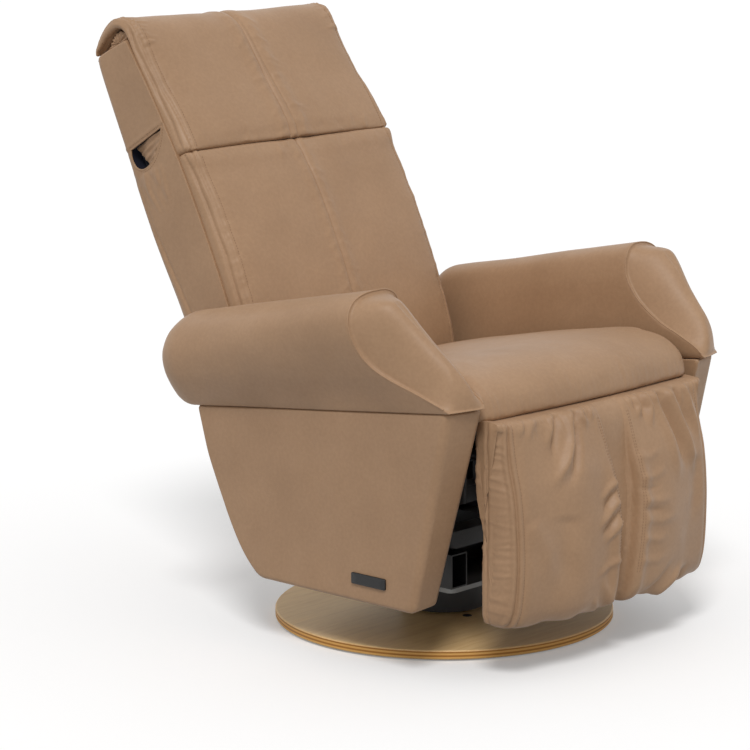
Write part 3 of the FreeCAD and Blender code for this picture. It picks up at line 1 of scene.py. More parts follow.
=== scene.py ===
import bpy
import json
import math
import numpy as np
from mathutils import Matrix, Vector
from mathutils.bvhtree import BVHTree


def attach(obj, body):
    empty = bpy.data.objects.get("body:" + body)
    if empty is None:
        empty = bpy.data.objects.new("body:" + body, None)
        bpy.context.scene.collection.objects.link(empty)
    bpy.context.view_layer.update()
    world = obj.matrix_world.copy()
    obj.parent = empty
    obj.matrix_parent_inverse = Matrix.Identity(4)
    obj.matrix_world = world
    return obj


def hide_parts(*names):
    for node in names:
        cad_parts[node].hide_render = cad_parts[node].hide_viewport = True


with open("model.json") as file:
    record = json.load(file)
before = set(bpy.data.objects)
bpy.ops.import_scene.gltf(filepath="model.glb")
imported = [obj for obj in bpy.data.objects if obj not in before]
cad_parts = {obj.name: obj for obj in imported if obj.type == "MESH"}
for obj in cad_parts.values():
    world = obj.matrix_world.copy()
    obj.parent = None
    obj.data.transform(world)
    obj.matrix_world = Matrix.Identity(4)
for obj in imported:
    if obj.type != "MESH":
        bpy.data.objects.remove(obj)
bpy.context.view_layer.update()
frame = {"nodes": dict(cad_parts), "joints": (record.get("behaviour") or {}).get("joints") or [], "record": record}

# Lengths below are in millimetres, and MM turns them into metres.
MM = 0.001

# Camera of the photograph
CAMERA_AZIMUTH = -47.09
CAMERA_ELEVATION = 11.0
CAMERA_ROLL = -0.3
CAMERA_PLACE = (-3862.0, -3425.2, 1436.7)
CAMERA_LENS = 144.0
CAMERA_SENSOR = 36.0

# Frames of the seat, the back and the leg rest: lean in degrees and origin in Y and Z
SEAT_LEAN = 11.0
SEAT_ORIGIN = (170.0, 366.0)
BACK_LEAN = 26.0

# Seat cushion, measured from its lower rear edge. A COUNT is a number of points along a section.
SEAT_HALF = 279.0
SEAT_LENGTH = 527.0
SEAT_BOW = 22.0
SEAT_HEIGHT = 77.0
SEAT_EDGE = 27.0
SEAT_LIP = 29.0
SEAT_LIP_REAR = 474.0
SEAT_COUNT = 170

# Back, measured up from its pivot and forward of it
BACK_HALF = 262.0
BACK_SEAM = 439.0
PAD_EDGE = 15.0
PAD_CROWN = 9.0
BACK_COUNT = 190
COVER_COUNT = 230

# Leg rest, measured forward of its pivot and up from it
LEG_HALF = 269.5
LEG_EDGE_FRONT = 44.0
LEG_EDGE_FOOT = 36.0
STRIP_TOP_HALF = 33.0
BAND_SEAM = 252.0

# Arms and side panels
PANEL_INNER = 290.0
PANEL_OUTER = 355.0
PANEL_ROUND = 13.0
ARM_WIDTH = 122.0
ARM_FOOT_REAR = 400.0
ARM_REAR = 304.0
ARM_APEX = -158.0
ARM_REAR_ROUND = 46.0

# Padding: the size of its mesh, its pressure as cloth and how many steps it is blown up for
VOXEL = 5.0
PAD_PRESSURE = 4.0
CLOTH_FRAMES = 20

# Band along both sides of the back's face and its stitches, band along the sides, strip between the head
# pad's centre seams, lining of the wrap, and cover
BAND_WIDTH = 13.0
BAND_STITCH = BAND_WIDTH + 11
SIDE_BAND = 19.0
STRIP_TOP = 4.0
STRIP_FOOT = 9.0
LINING_HALF = 250.0
COVER_HALF = 264.6
COVER_ROUND = 16.0
MOUTH_DEPTH = 24.0
SIDE_NAMES = {-1: "right", 1: "left"}

# More of the leg rest: its rear face, how far its sides wrap back, and their seam
LEG_REAR = -20.0
LEG_WRAP = 11.0
LEG_SIDE_SEAM = 8.0
BAND_STITCHES = 9.5
FOLD_DEPTH = 1.3

# More of the arms
ARM_COUNT = 240
FACE_RINGS = 40
FACE_PASSES = 90
FACE_SPREAD = 0.2
RIM_PASSES = 40
WELT_RADIUS = 1.5
WELT_LIFT = 0.3
LIP_RADIUS = 1.7
ARM_REAR_SHRINK = 0.36
ARM_FILLET = 6.0

# Light, and the floor in metres: how far it reaches, what it adds, and its shade to the eye and to the light
WORLD_STRENGTH = 0.6
SUN_STRENGTH = 1.45
SUN_SPREAD = 16.0
SUN_TILT = 38.0
SUN_TURN = -52.0
FLOOR_REACH = 60.0
FLOOR_LIFT = 0.18
FLOOR_SEEN = 0.88
FLOOR_BOUNCE = 0.42


def joint_place(name):
    """Y and Z of a hinge, in millimetres."""
    for joint in frame["joints"]:
        if joint["name"] == name:
            return joint["pos_m"][1] / MM, joint["pos_m"][2] / MM
    raise ValueError(name)


BACK_ORIGIN = joint_place("back_recline")
LEG_ORIGIN = joint_place("leg_rest_lift")


# Numbers
def smooth(t):
    """Rises from 0 to 1 without corners."""
    t = np.clip(t, 0, 1)
    return t * t * (3 - 2 * t)


def bell(distance, width):
    return np.exp(-(distance / width) ** 2)


def edge_drop(distance, radius):
    """How far a rounded edge has fallen at a distance from the flat's side."""
    t = np.clip(1 - distance / radius, 0, 1)
    return radius * (1 - np.sqrt(1 - t * t))


def noise(points, size, seed):
    """Soft noise from -1 to 1 that changes over about one size."""
    lattice = np.random.default_rng(seed).uniform(-1, 1, (32, 32, 32))
    cell = points / size
    low = np.floor(cell).astype(int)
    part = cell - low
    part = part * part * (3 - 2 * part)
    total = np.zeros(len(points))
    for corner in np.ndindex(2, 2, 2):
        weight = np.prod(np.where(np.array(corner) == 1, part, 1 - part), axis=1)
        index = (low + np.array(corner)) % 32
        total += weight * lattice[index[:, 0], index[:, 1], index[:, 2]]
    return total


def catmull(line, t, last):
    """Points of a smooth curve through a line, at places counted in its points."""
    index = np.minimum(np.floor(t).astype(int), last)
    f = (t - index)[:, None]
    p0, p1, p2, p3 = (line[index + k] for k in range(4))
    return 0.5 * (2 * p1 + (p2 - p0) * f + (2 * p0 - 5 * p1 + 4 * p2 - p3) * f ** 2
                  + (3 * p1 - p0 - 3 * p2 + p3) * f ** 3)


def walked(line):
    """Distance along a line at each of its points."""
    return np.concatenate([[0], np.cumsum(np.linalg.norm(np.diff(line, axis=0), axis=1))])


def at_distances(line, want):
    return np.stack([np.interp(want, walked(line), line[:, k]) for k in range(line.shape[1])], 1)


def resample(line, count, closed=False):
    """The same line with evenly spaced points."""
    line = np.asarray(line, float)
    if closed:
        line = np.vstack([line, line[:1]])
    return at_distances(line, np.linspace(0, walked(line)[-1], count, endpoint=not closed))


def closed_curve(control, count):
    """Evenly spaced points on a smooth closed curve through the control points."""
    control = np.asarray(control, float)
    n = len(control)
    around = control[np.arange(-1, n + 2) % n]
    t = np.linspace(0, n, n * 20, endpoint=False)
    return resample(catmull(around, t, n - 1), count, closed=True)


def open_curve(control, count):
    """Evenly spaced points on a smooth curve from the first control point to the last."""
    control = np.asarray(control, float)
    n = len(control)
    ends = np.vstack([2 * control[0] - control[1], control, 2 * control[-1] - control[-2]])
    return resample(catmull(ends, np.linspace(0, n - 1, (n - 1) * 20 + 1), n - 2), count)


def rounded_loop(corners, count):
    """Evenly spaced points on a closed line of straight runs whose corners (a, b, radius) are rounded."""
    line = []
    for k, (a, b, radius) in enumerate(corners):
        here = np.array((a, b), float)
        ends = []
        for other in (corners[k - 1], corners[(k + 1) % len(corners)]):
            run = np.array(other[:2], float) - here
            length = np.linalg.norm(run)
            ends.append(here + run / length * min(radius, length * 0.49))
        for t in np.linspace(0, 1, 9):
            line.append((1 - t) ** 2 * ends[0] + 2 * t * (1 - t) * here + t * t * ends[1])
    return resample(line, count, closed=True)


def stations(half, edge, step):
    """Places across a piece, closer together at its rounded ends."""
    flat = half - edge
    middle = np.linspace(-flat, flat, max(3, int(round(2 * flat / step)) + 1))
    turn = np.linspace(0, math.pi / 2, max(6, int(edge / step * 2)))[1:]
    right = flat + edge * np.sin(turn)
    return np.concatenate([-right[::-1], middle, right])


# Meshes
def frame_matrix(lean, origin):
    """From a leaning local frame in millimetres to the chair in metres."""
    turn = Matrix.Rotation(math.radians(-lean), 4, "X")
    place = Matrix.Translation((0, origin[0] * MM, origin[1] * MM))
    return place @ turn @ Matrix.Scale(MM, 4)


BACK_FRAME = frame_matrix(BACK_LEAN, BACK_ORIGIN)
SEAT_FRAME = frame_matrix(SEAT_LEAN, SEAT_ORIGIN)
LEG_FRAME = frame_matrix(0, LEG_ORIGIN)
CHAIR_FRAME = Matrix.Scale(MM, 4)


def new_object(name, points, faces):
    mesh = bpy.data.meshes.new(name)
    mesh.from_pydata(np.asarray(points, float).tolist(), [], faces)
    mesh.polygons.foreach_set("use_smooth", [True] * len(mesh.polygons))
    mesh.update()
    thing = bpy.data.objects.new(name, mesh)
    bpy.context.scene.collection.objects.link(thing)
    return thing


def ring_faces(count, around):
    """Quads between neighbouring rings."""
    a = np.arange(around)
    b = (a + 1) % around
    faces = []
    for row in range(count - 1):
        low, high = row * around, (row + 1) * around
        faces.extend(np.stack([low + a, low + b, high + b, high + a], 1).tolist())
    return faces


def skin(name, rings, bulge=4.0, cap_rings=9):
    """Closed surface through rings of points, with gently domed ends."""
    rings = np.asarray(rings, float)
    for end in (0, -1):
        ring = rings[end]
        centre = ring.mean(axis=0)
        out = centre - rings[1 if end == 0 else -2].mean(axis=0)
        out = out / max(np.linalg.norm(out), 1e-6)
        caps = []
        for k in range(1, cap_rings):
            share = 1 - k / cap_rings
            caps.append(centre + (ring - centre) * share + out * bulge * (1 - share ** 2))
        rings = np.concatenate([caps[::-1], rings] if end == 0 else [rings, caps])
    count, around = rings.shape[:2]
    points = np.vstack([rings.reshape(-1, 3), rings[0].mean(axis=0), rings[-1].mean(axis=0)])
    a = np.arange(around)
    b = (a + 1) % around
    faces = ring_faces(count, around)
    top = (count - 1) * around
    faces.extend(np.stack([b, a, np.full(around, count * around)], 1).tolist())
    faces.extend(np.stack([top + a, top + b, np.full(around, count * around + 1)], 1).tolist())
    thing = new_object(name, points, faces)
    turn_outward(thing)
    return thing


def slab(name, sections, bulge=3.0, cap_rows=12):
    """Closed surface through sections that run out along one face and back along the other."""
    sections = np.asarray(sections, float)
    count, around = sections.shape[:2]
    half = around // 2
    points = [sections.reshape(-1, 3)]
    faces = ring_faces(count, around)
    total = count * around
    share = np.arange(1, cap_rows) / cap_rows
    for end in (0, count - 1):
        start = end * around
        ring = sections[end]
        out = (ring - sections[1 if end == 0 else count - 2]).mean(axis=0)
        out = out / max(np.linalg.norm(out), 1e-6)
        first = ring[1:half - 1]
        across = ring[::-1][1:half - 1] - first
        rise = np.minimum(bulge, np.linalg.norm(across, axis=1) * 0.3)[:, None] * (1 - (2 * share - 1) ** 2)
        inner = first[:, None] + across[:, None] * share[None, :, None] + out * rise[:, :, None]
        index = np.empty((half - 2, cap_rows + 1), int)
        index[:, 0] = start + np.arange(1, half - 1)
        index[:, -1] = start + around - 1 - np.arange(1, half - 1)
        index[:, 1:-1] = total + np.arange(rise.size).reshape(rise.shape)
        corners = [index[:-1, :-1], index[:-1, 1:], index[1:, 1:], index[1:, :-1]]
        cap = np.stack(corners, 2).reshape(-1, 4).tolist()
        cap.append([start, start + around - 1] + index[0, ::-1].tolist())
        cap.append(index[-1].tolist() + [start + half, start + half - 1])
        faces.extend([face[::-1] for face in cap] if end else cap)
        points.append(inner.reshape(-1, 3))
        total += rise.size
    thing = new_object(name, np.concatenate(points), faces)
    turn_outward(thing)
    return thing


def section(outer, inner, count):
    """A slab's section: out along one curve and back along the other."""
    return np.concatenate([open_curve(outer, count), open_curve(inner, count)])


def inflate(thing, matrix, shrink, reach, free):
    """Fills a pad as a stuffed cover: it starts smaller, is blown up as cloth and moves up to its reach."""
    press(thing, lambda points, directions: -shrink * free(points, directions))
    settle(thing, matrix)
    even = thing.modifiers.new("even", "REMESH")
    even.mode = "VOXEL"
    even.voxel_size = VOXEL * MM
    even.use_smooth_shade = True
    apply_modifiers(thing)
    before = vertices(thing)
    settle(thing, matrix.inverted())
    share = free(vertices(thing), normals(thing))
    settle(thing, matrix)
    cloth = thing.modifiers.new("cloth", "CLOTH")
    settings = cloth.settings
    settings.quality = 5
    settings.use_pressure = True
    settings.uniform_pressure_force = PAD_PRESSURE
    settings.effector_weights.gravity = 0
    cloth.collision_settings.use_collision = False
    scene = bpy.context.scene
    for frame_number in range(1, CLOTH_FRAMES + 1):
        scene.frame_set(frame_number)
    graph = bpy.context.evaluated_depsgraph_get()
    move = vertices(thing.evaluated_get(graph)) - before
    thing.modifiers.clear()
    scene.frame_set(1)
    length = np.linalg.norm(move, axis=1)
    limit = reach * MM * share
    move *= (limit / np.maximum(limit + length, 1e-9))[:, None]
    set_vertices(thing, before + move)
    thing.modifiers.new("finer", "SUBSURF").levels = 1
    apply_modifiers(thing)
    settle(thing, matrix.inverted())


def turn_outward(thing):
    """Makes every face look outwards."""
    mesh = thing.data
    mesh.calc_loop_triangles()
    tris = np.zeros(len(mesh.loop_triangles) * 3, int)
    mesh.loop_triangles.foreach_get("vertices", tris)
    a, b, c = (vertices(thing)[tris.reshape(-1, 3)[:, k]] for k in range(3))
    if np.einsum("ij,ij->i", a, np.cross(b, c)).sum() < 0:
        mesh.flip_normals()


def vertices(thing, kind="co"):
    values = np.zeros(len(thing.data.vertices) * 3)
    thing.data.vertices.foreach_get(kind, values)
    return values.reshape(-1, 3)


def set_vertices(thing, points):
    thing.data.vertices.foreach_set("co", np.asarray(points, float).ravel())
    thing.data.update()


def normals(thing):
    return vertices(thing, "normal")


def press(thing, field):
    """Moves each point along its normal by a field given in millimetres."""
    points = vertices(thing)
    directions = normals(thing)
    set_vertices(thing, points + directions * field(points, directions)[:, None])


def settle(thing, matrix):
    """Bakes a local frame into the mesh."""
    thing.data.transform(matrix)
    thing.data.update()


def dress(thing, matrix, body, nodes=(), slot="leather", material=None):
    """Bakes a piece's frame; sets its material, body, finish and the solids that it stands for."""
    settle(thing, matrix)
    if not thing.data.materials:
        thing.data.materials.append(material or SLOT_MATERIALS[slot])
    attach(thing, body)
    if nodes:
        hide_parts(*nodes)


# Seams and stitches
def line_field(points, path, plane):
    """Signed distance from a drawn line, and how far along it each point lies, in two of the axes."""
    flat = points[:, plane]
    path = np.asarray(path, float)
    best = np.full(len(flat), 1e9)
    side = np.zeros(len(flat))
    along = np.zeros(len(flat))
    walked = 0.0
    for a, b in zip(path[:-1], path[1:]):
        run = b - a
        length = np.linalg.norm(run)
        t = np.clip((flat - a) @ run / length ** 2, 0, 1)
        offset = flat - (a + t[:, None] * run)
        distance = np.linalg.norm(offset, axis=1)
        closer = distance < best
        best = np.where(closer, distance, best)
        cross = run[0] * offset[:, 1] - run[1] * offset[:, 0]
        side = np.where(closer, np.sign(cross), side)
        along = np.where(closer, walked + t * length, along)
        walked += length
    return best * np.where(side == 0, 1, side), along, walked


def groove(distance, depth, width, swell=0.0, reach=14.0):
    """A sewn line: a narrow furrow with the leather swelling each side of it."""
    return -depth * bell(distance, width) + swell * bell(np.abs(distance) - reach * 0.6, reach * 0.5)


def fold(points, line, width, height, plane=(0, 2)):
    """A soft ridge (or furrow, where the height is below zero) along a line, fading at both ends."""
    distance, along, length = line_field(points, line, plane)
    share = along / length
    return height * bell(distance, width) * smooth(share * 8) * smooth((1 - share) * 2.2)


def wrinkle(out, points, rng, places, jitter, line, width, low, high, hands=(-1, 1)):
    """Adds a small fold of random height near each place, on each hand; the line is drawn from both."""
    for place in places:
        here = place + rng.uniform(-jitter, jitter)
        for hand in hands:
            out += fold(points, line(here, hand), width, rng.uniform(low, high))


STITCH_LENGTH = 3.4
STITCH_PITCH = 5.0
STITCH_WIDTH = 0.9
STITCH_RISE = 0.45
RAY_START = 200.0
RAY_LENGTH = 500.0


def tree_of(thing):
    mesh = thing.data
    return BVHTree.FromPolygons([v.co for v in mesh.vertices], [p.vertices for p in mesh.polygons])


def add_stitches(points, faces, placed):
    """Adds one small rounded stitch between each pair of neighbouring places."""
    rows = ((-0.5, 0.25), (-0.3, 1.0), (0.3, 1.0), (0.5, 0.25))
    for (here, normal), (ahead, _) in zip(placed[:-1], placed[1:]):
        run = ahead - here
        length = np.linalg.norm(run)
        if length < 1e-6 or length > STITCH_PITCH * 3:
            continue
        run = run / length
        across = np.cross(normal, run)
        base = len(points)
        for share, size in rows:
            middle = here + run * STITCH_LENGTH * share
            for angle in range(6):
                turn = angle * math.pi / 3
                offset = across * math.cos(turn) * STITCH_WIDTH * size
                rise = normal * math.sin(turn) * STITCH_RISE * size
                points.append(middle + offset / 1.6 + rise)
        faces.extend((base + np.array(ring_faces(len(rows), 6))).tolist())
        faces.append([base + k for k in range(6)][::-1])
        faces.append([base + 18 + k for k in range(6)])


def stitches(name, thing, paths, toward, body, matrix):
    """Rows of thread on a piece, dropped onto it along a direction before it is settled."""
    tree = tree_of(thing)
    points, faces = [], []
    for path in paths:
        placed = []
        path = np.asarray(path, float)
        for point in at_distances(path, np.arange(STITCH_PITCH / 2, walked(path)[-1], STITCH_PITCH)):
            start = Vector(point) - Vector(toward) * RAY_START
            hit, normal, _, _ = tree.ray_cast(start, Vector(toward), RAY_LENGTH)
            if hit is not None:
                placed.append((np.array(hit), np.array(normal)))
        if len(placed) >= 3:
            add_stitches(points, faces, placed)
    dress(new_object(name, points, faces), matrix, body, material=THREAD)


# Materials
def feed(tree, socket, value):
    """Links a socket to what another node puts out, or sets its value."""
    if isinstance(value, bpy.types.NodeSocket):
        tree.links.new(value, socket)
    else:
        socket.default_value = value


def node(tree, kind, sockets, **settings):
    """New shader node with its settings and what goes into its sockets."""
    made = tree.nodes.new("ShaderNode" + kind)
    for name, value in settings.items():
        setattr(made, name, value)
    for name, value in sockets.items():
        feed(tree, made.inputs[name], value)
    return made


def shader(name, rough, metal=0.0, sheen=0.0, specular=0.5):
    """New material and its main parts."""
    material = bpy.data.materials.new(name)
    material.use_nodes = True
    tree = material.node_tree
    bsdf = tree.nodes["Principled BSDF"]
    for socket, value in (("Roughness", rough), ("Metallic", metal), ("Sheen Weight", sheen),
                          ("Specular IOR Level", specular)):
        bsdf.inputs[socket].default_value = value
    return material, tree, bsdf


def linear(red, green, blue):
    """Colour of a picture's red, green and blue, from 0 to 255, as light."""
    out = []
    for value in (red, green, blue):
        share = value / 255
        out.append(share / 12.92 if share <= 0.04045 else ((share + 0.055) / 1.055) ** 2.4)
    return tuple(out) + (1.0,)


def noise_node(tree, place, scale, detail=3.0, rough=0.5):
    sockets = {"Vector": place, "Scale": scale, "Detail": detail, "Roughness": rough}
    return node(tree, "TexNoise", sockets).outputs["Fac"]


def math_node(tree, operation, *values):
    return node(tree, "Math", dict(enumerate(values)), operation=operation).outputs[0]


def ramp_node(tree, value, stops):
    made = node(tree, "ValToRGB", {"Fac": value})
    ramp = made.color_ramp
    while len(ramp.elements) < len(stops):
        ramp.elements.new(0.5)
    for element, (place, colour) in zip(ramp.elements, stops):
        element.position = place
        element.color = colour
    return made.outputs["Color"]


def mix_node(tree, share, first, second, blend="MIX"):
    sockets = {0: share, 6: first, 7: second}
    return node(tree, "Mix", sockets, data_type="RGBA", blend_type=blend).outputs[2]


def range_node(tree, value, low, high, top=1.0):
    sockets = {"Value": value, "From Max": top, "To Min": low, "To Max": high}
    return node(tree, "MapRange", sockets).outputs["Result"]


def bump_node(tree, bsdf, height, strength, distance):
    made = node(tree, "Bump", {"Strength": strength, "Distance": distance, "Height": height})
    tree.links.new(made.outputs["Normal"], bsdf.inputs["Normal"])


def shaded(colour, share):
    return tuple(c * share for c in colour[:3]) + (1.0,)


def object_place(tree):
    return tree.nodes.new("ShaderNodeTexCoord").outputs["Object"]


def leather_material(name, light, dark):
    """Soft tan leather: cloudy colour, fine pebbled grain, a low sheen."""
    material, tree, bsdf = shader(name, 0.5, sheen=0.06, specular=0.38)
    place = object_place(tree)
    colour = ramp_node(tree, noise_node(tree, place, 7.0, 4.0, 0.55), ((0.3, dark), (0.7, light)))
    mottle = noise_node(tree, place, 160.0, 2.0)
    speck = ramp_node(tree, mottle, ((0.35, (0.93, 0.92, 0.91, 1)), (0.7, (1, 1, 1, 1))))
    feed(tree, bsdf.inputs["Base Color"], mix_node(tree, 1.0, colour, speck, "MULTIPLY"))
    feed(tree, bsdf.inputs["Roughness"], range_node(tree, noise_node(tree, place, 24.0), 0.4, 0.58))
    sockets = {"Vector": place, "Scale": 620.0, "Smoothness": 0.6}
    pebbles = node(tree, "TexVoronoi", sockets, feature="SMOOTH_F1").outputs["Distance"]
    grain = math_node(tree, "MULTIPLY_ADD", noise_node(tree, place, 210.0, 4.0), 0.8, pebbles)
    bump_node(tree, bsdf, grain, 0.22, 0.0005)
    return material


def plain_material(name, colour, rough, metal=0.0, grain=300.0, bump=0.1):
    """Moulded or painted surface with slight unevenness in colour and gloss."""
    material, tree, bsdf = shader(name, rough, metal)
    place = object_place(tree)
    wear = noise_node(tree, place, 18.0, 4.0)
    feed(tree, bsdf.inputs["Base Color"], ramp_node(tree, wear, ((0.3, shaded(colour, 0.8)), (0.7, colour))))
    feed(tree, bsdf.inputs["Roughness"], range_node(tree, wear, rough * 0.85, min(1.0, rough * 1.2)))
    bump_node(tree, bsdf, noise_node(tree, place, grain, 3.0), bump, 0.0003)
    return material


def wood_material(name, light, dark, plies):
    """Lacquered veneer with long grain, and layers where the edge shows."""
    material, tree, bsdf = shader(name, 0.46, specular=0.2)
    place = object_place(tree)
    long = node(tree, "Mapping", {"Vector": place, "Scale": (2.2, 30.0, 30.0)}).outputs["Vector"]
    grain = noise_node(tree, long, 2.4, 8.0, 0.62)
    colour = ramp_node(tree, grain, ((0.32, dark), (0.5, light), (0.72, shaded(light, 1.08))))
    pores = noise_node(tree, long, 22.0, 3.0)
    colour = mix_node(tree, 0.35, colour, ramp_node(tree, pores, ((0.4, dark), (0.6, light))))
    if plies:
        up = node(tree, "SeparateXYZ", {0: place}).outputs["Z"]
        layers = range_node(tree, math_node(tree, "PINGPONG", up, plies * MM), 0.0, 1.0, plies * MM)
        bands = ramp_node(tree, layers, ((0.42, linear(226, 174, 100)), (0.58, linear(172, 116, 56))))
        facing = tree.nodes.new("ShaderNodeNewGeometry").outputs["Normal"]
        upright = math_node(tree, "ABSOLUTE", node(tree, "SeparateXYZ", {0: facing}).outputs["Z"])
        edge = ramp_node(tree, upright, ((0.35, (1, 1, 1, 1)), (0.75, (0, 0, 0, 1))))
        colour = mix_node(tree, edge, colour, bands)
    feed(tree, bsdf.inputs["Base Color"], colour)
    feed(tree, bsdf.inputs["Roughness"], range_node(tree, grain, 0.42, 0.54))
    bump_node(tree, bsdf, pores, 0.08, 0.0003)
    return material


def cloth_material(name, colour):
    """Woven cloth or strap: crossed threads in the surface."""
    material, tree, bsdf = shader(name, 0.85, sheen=0.2, specular=0.2)
    place = object_place(tree)
    threads = [node(tree, "TexWave", {"Vector": place, "Scale": 260.0}, bands_direction=axis).outputs["Fac"]
               for axis in ("X", "Z")]
    colour = ramp_node(tree, noise_node(tree, place, 30.0), ((0.3, shaded(colour, 0.6)), (0.7, colour)))
    feed(tree, bsdf.inputs["Base Color"], colour)
    bump_node(tree, bsdf, math_node(tree, "ADD", *threads), 0.3, 0.0005)
    return material


LEATHER = leather_material("leather", linear(174, 139, 107), linear(163, 129, 98))
THREAD = plain_material("thread", linear(146, 112, 82), 0.7, grain=900.0, bump=0.3)
BLACK_PLASTIC = plain_material("black_plastic", linear(16, 16, 17), 0.5, 0.0, 900.0, 0.25)
POCKET_CLOTH = cloth_material("pocket_cloth", linear(16, 17, 34))

SLOT_MATERIALS = {
    "leather": LEATHER,
    "oak_plywood": wood_material("disc_wood", linear(240, 204, 150), linear(224, 182, 124), 3.2),
    "frame_plywood": wood_material("frame_wood", linear(205, 172, 128), linear(182, 146, 102), 0),
    "floor_rubber": plain_material("floor_rubber", linear(30, 30, 30), 0.85, 0.0, 400.0, 0.3),
    "bearing_nylon": plain_material("bearing_nylon", linear(215, 212, 204), 0.55, 0.0, 300.0, 0.1),
    "elastic_webbing": cloth_material("webbing", linear(34, 34, 36)),
    "pocket_cloth": POCKET_CLOTH,
    "zinc_steel": plain_material("zinc_steel", linear(118, 118, 116), 0.4, 1.0, 400.0, 0.1),
    "bright_steel": plain_material("bright_steel", linear(190, 190, 190), 0.22, 1.0, 600.0, 0.05),
    "black_plastic": BLACK_PLASTIC,
    "drive_aluminium": plain_material("drive_aluminium", linear(36, 37, 40), 0.42, 0.8, 300.0, 0.1),
    "black_steel": plain_material("black_steel", linear(15, 15, 16), 0.45, 0.0, 500.0, 0.15),
}


def finish_solids():
    """Gives every solid of the frame the material of its finish."""
    for part in frame["record"]["subparts"]:
        thing = frame["nodes"][part["node"]]
        thing.data.materials.clear()
        thing.data.materials.append(SLOT_MATERIALS[part["material_slot"]])


# Seat
def seat_section(x):
    """Section of the seat along its length, at a place across it."""
    share = abs(x) / SEAT_HALF
    drop = edge_drop(SEAT_HALF - abs(x), SEAT_EDGE)
    high = SEAT_HEIGHT - 7 * share ** 2 - drop
    length = SEAT_LENGTH - SEAT_BOW * share ** 2 - drop * 0.75
    low = -SEAT_LIP + drop * 0.25
    inner = -SEAT_LIP_REAR
    outer = [
        (-4, 2), (0, 8), (1, high * 0.45), (-3, high * 0.82), (-30, high * 0.93), (-110, high * 0.985),
        (-220, high), (-330, high * 0.985), (-405, high * 0.935), (-length + 72, high * 0.82),
        (-length + 34, high * 0.6), (-length + 11, high * 0.33), (-length + 1, 6), (-length, -10),
        (-length + 3, low + 4), (-length + 12, low),
    ]
    rear = [(inner - 8, low), (inner, low + 5), (inner + 3, -4), (inner + 14, 1), (-360, 1), (-220, 1),
            (-100, 1), (-10, 1)]
    return [(x, y, z) for y, z in section(outer, rear, SEAT_COUNT)]


def seat_pad():
    sections = [seat_section(x) for x in stations(SEAT_HALF, SEAT_EDGE, 4.5)]
    pad = slab("seat_pad", sections, bulge=4.0, cap_rows=16)

    def free(p, n):
        above = smooth(n[:, 2] * 2) + 0.8 * smooth(-n[:, 1] * 2)
        return 0.12 + 0.88 * np.clip(above, 0, 1) * smooth((p[:, 2] + SEAT_LIP) / 30)
    inflate(pad, SEAT_FRAME, 2.0, 9.0, free)

    def relief(p, n):
        top = smooth(n[:, 2] * 2 + 0.2) + smooth(-n[:, 1] * 2)
        front = smooth(-n[:, 1] * 1.6 - 0.2)
        out = noise(p, 90, 3) * 1.2 + noise(p, 36, 4) * 0.4
        # puckers that rise from the seam under the nose
        rng = np.random.default_rng(11)
        for x in np.arange(-262, 263, 17.0):
            place = x + rng.uniform(-6, 6)
            reach = rng.uniform(14, 34)
            size = rng.uniform(0.25, 0.8)
            line = [(place, -SEAT_LIP), (place + rng.uniform(-6, 6), reach)]
            out += size * fold(p, line, 4.5, 1.0) * front
        for x, tall in ((-262, 62), (-251, 48), (-240, 30)):
            out += 1.5 * fold(p, [(x, -SEAT_LIP), (x - 6, tall)], 4.0, 1.0) * front
        return out * np.clip(top + 0.2, 0, 1)
    press(pad, relief)
    dress(pad, SEAT_FRAME, "chassis", ["seat_cushion"])


# Back
def back_section(x, front, rear, count):
    """Section of a back pad whose faces round into each other at its sides."""
    crown = PAD_CROWN * (abs(x) / BACK_HALF) ** 3
    face = open_curve([(u, w - crown * np.clip((w - 20) / 30, 0, 1)) for u, w in front], count)
    behind = open_curve(rear, count)[::-1]
    across = behind - face
    thick = np.linalg.norm(across, axis=1)[:, None]
    drop = edge_drop(BACK_HALF - abs(x), np.minimum(PAD_EDGE, thick * 0.6))
    face = face + across / thick * drop
    behind = behind - across / thick * drop * 0.4
    return [(x, -w, u) for u, w in np.concatenate([face, behind[::-1]])]


def back_slab(name, front, rear):
    sections = [back_section(x, front, rear, BACK_COUNT) for x in stations(BACK_HALF, PAD_EDGE, 3.5)]
    return slab(name, sections, bulge=1.5, cap_rows=16)


def back_free(p, n):
    """How freely the leather of a back pad swells: least behind it and at its seams."""
    front = smooth(-n[:, 1] * 2) + 0.5 * smooth(n[:, 2] * 2) * smooth((p[:, 2] - 600) / 60)
    return (0.06 + 0.94 * np.clip(front, 0, 1)) * smooth(np.abs(p[:, 2] - BACK_SEAM) / 30 + 0.05)


def edge_band(p, n):
    """The stitched band along both sides of the back's face, and the seams on its sides."""
    inward = BACK_HALF - np.abs(p[:, 0])
    side = smooth(np.abs(n[:, 0]) * 2.4 - 1.0)
    face = 1 - side
    out = (groove(inward - BAND_WIDTH, 2.6, 2.3) + 1.9 * bell(inward - BAND_WIDTH * 0.5, 5.0)) * face
    out += (1.3 * bell(inward - BAND_WIDTH - 6, 4.0) - 0.9 * bell(inward - BAND_STITCH, 1.6)) * face
    profile = np.array(LOWER_FRONT[2:-3] + HEAD_FRONT[4:8])
    below = np.interp(p[:, 2], profile[:, 0], profile[:, 1]) + p[:, 1] - SIDE_BAND
    out += (groove(below, 2.6, 2.2) + 1.0 * bell(below + 6, 4.0)) * side * smooth((700 - p[:, 2]) / 20)
    return out


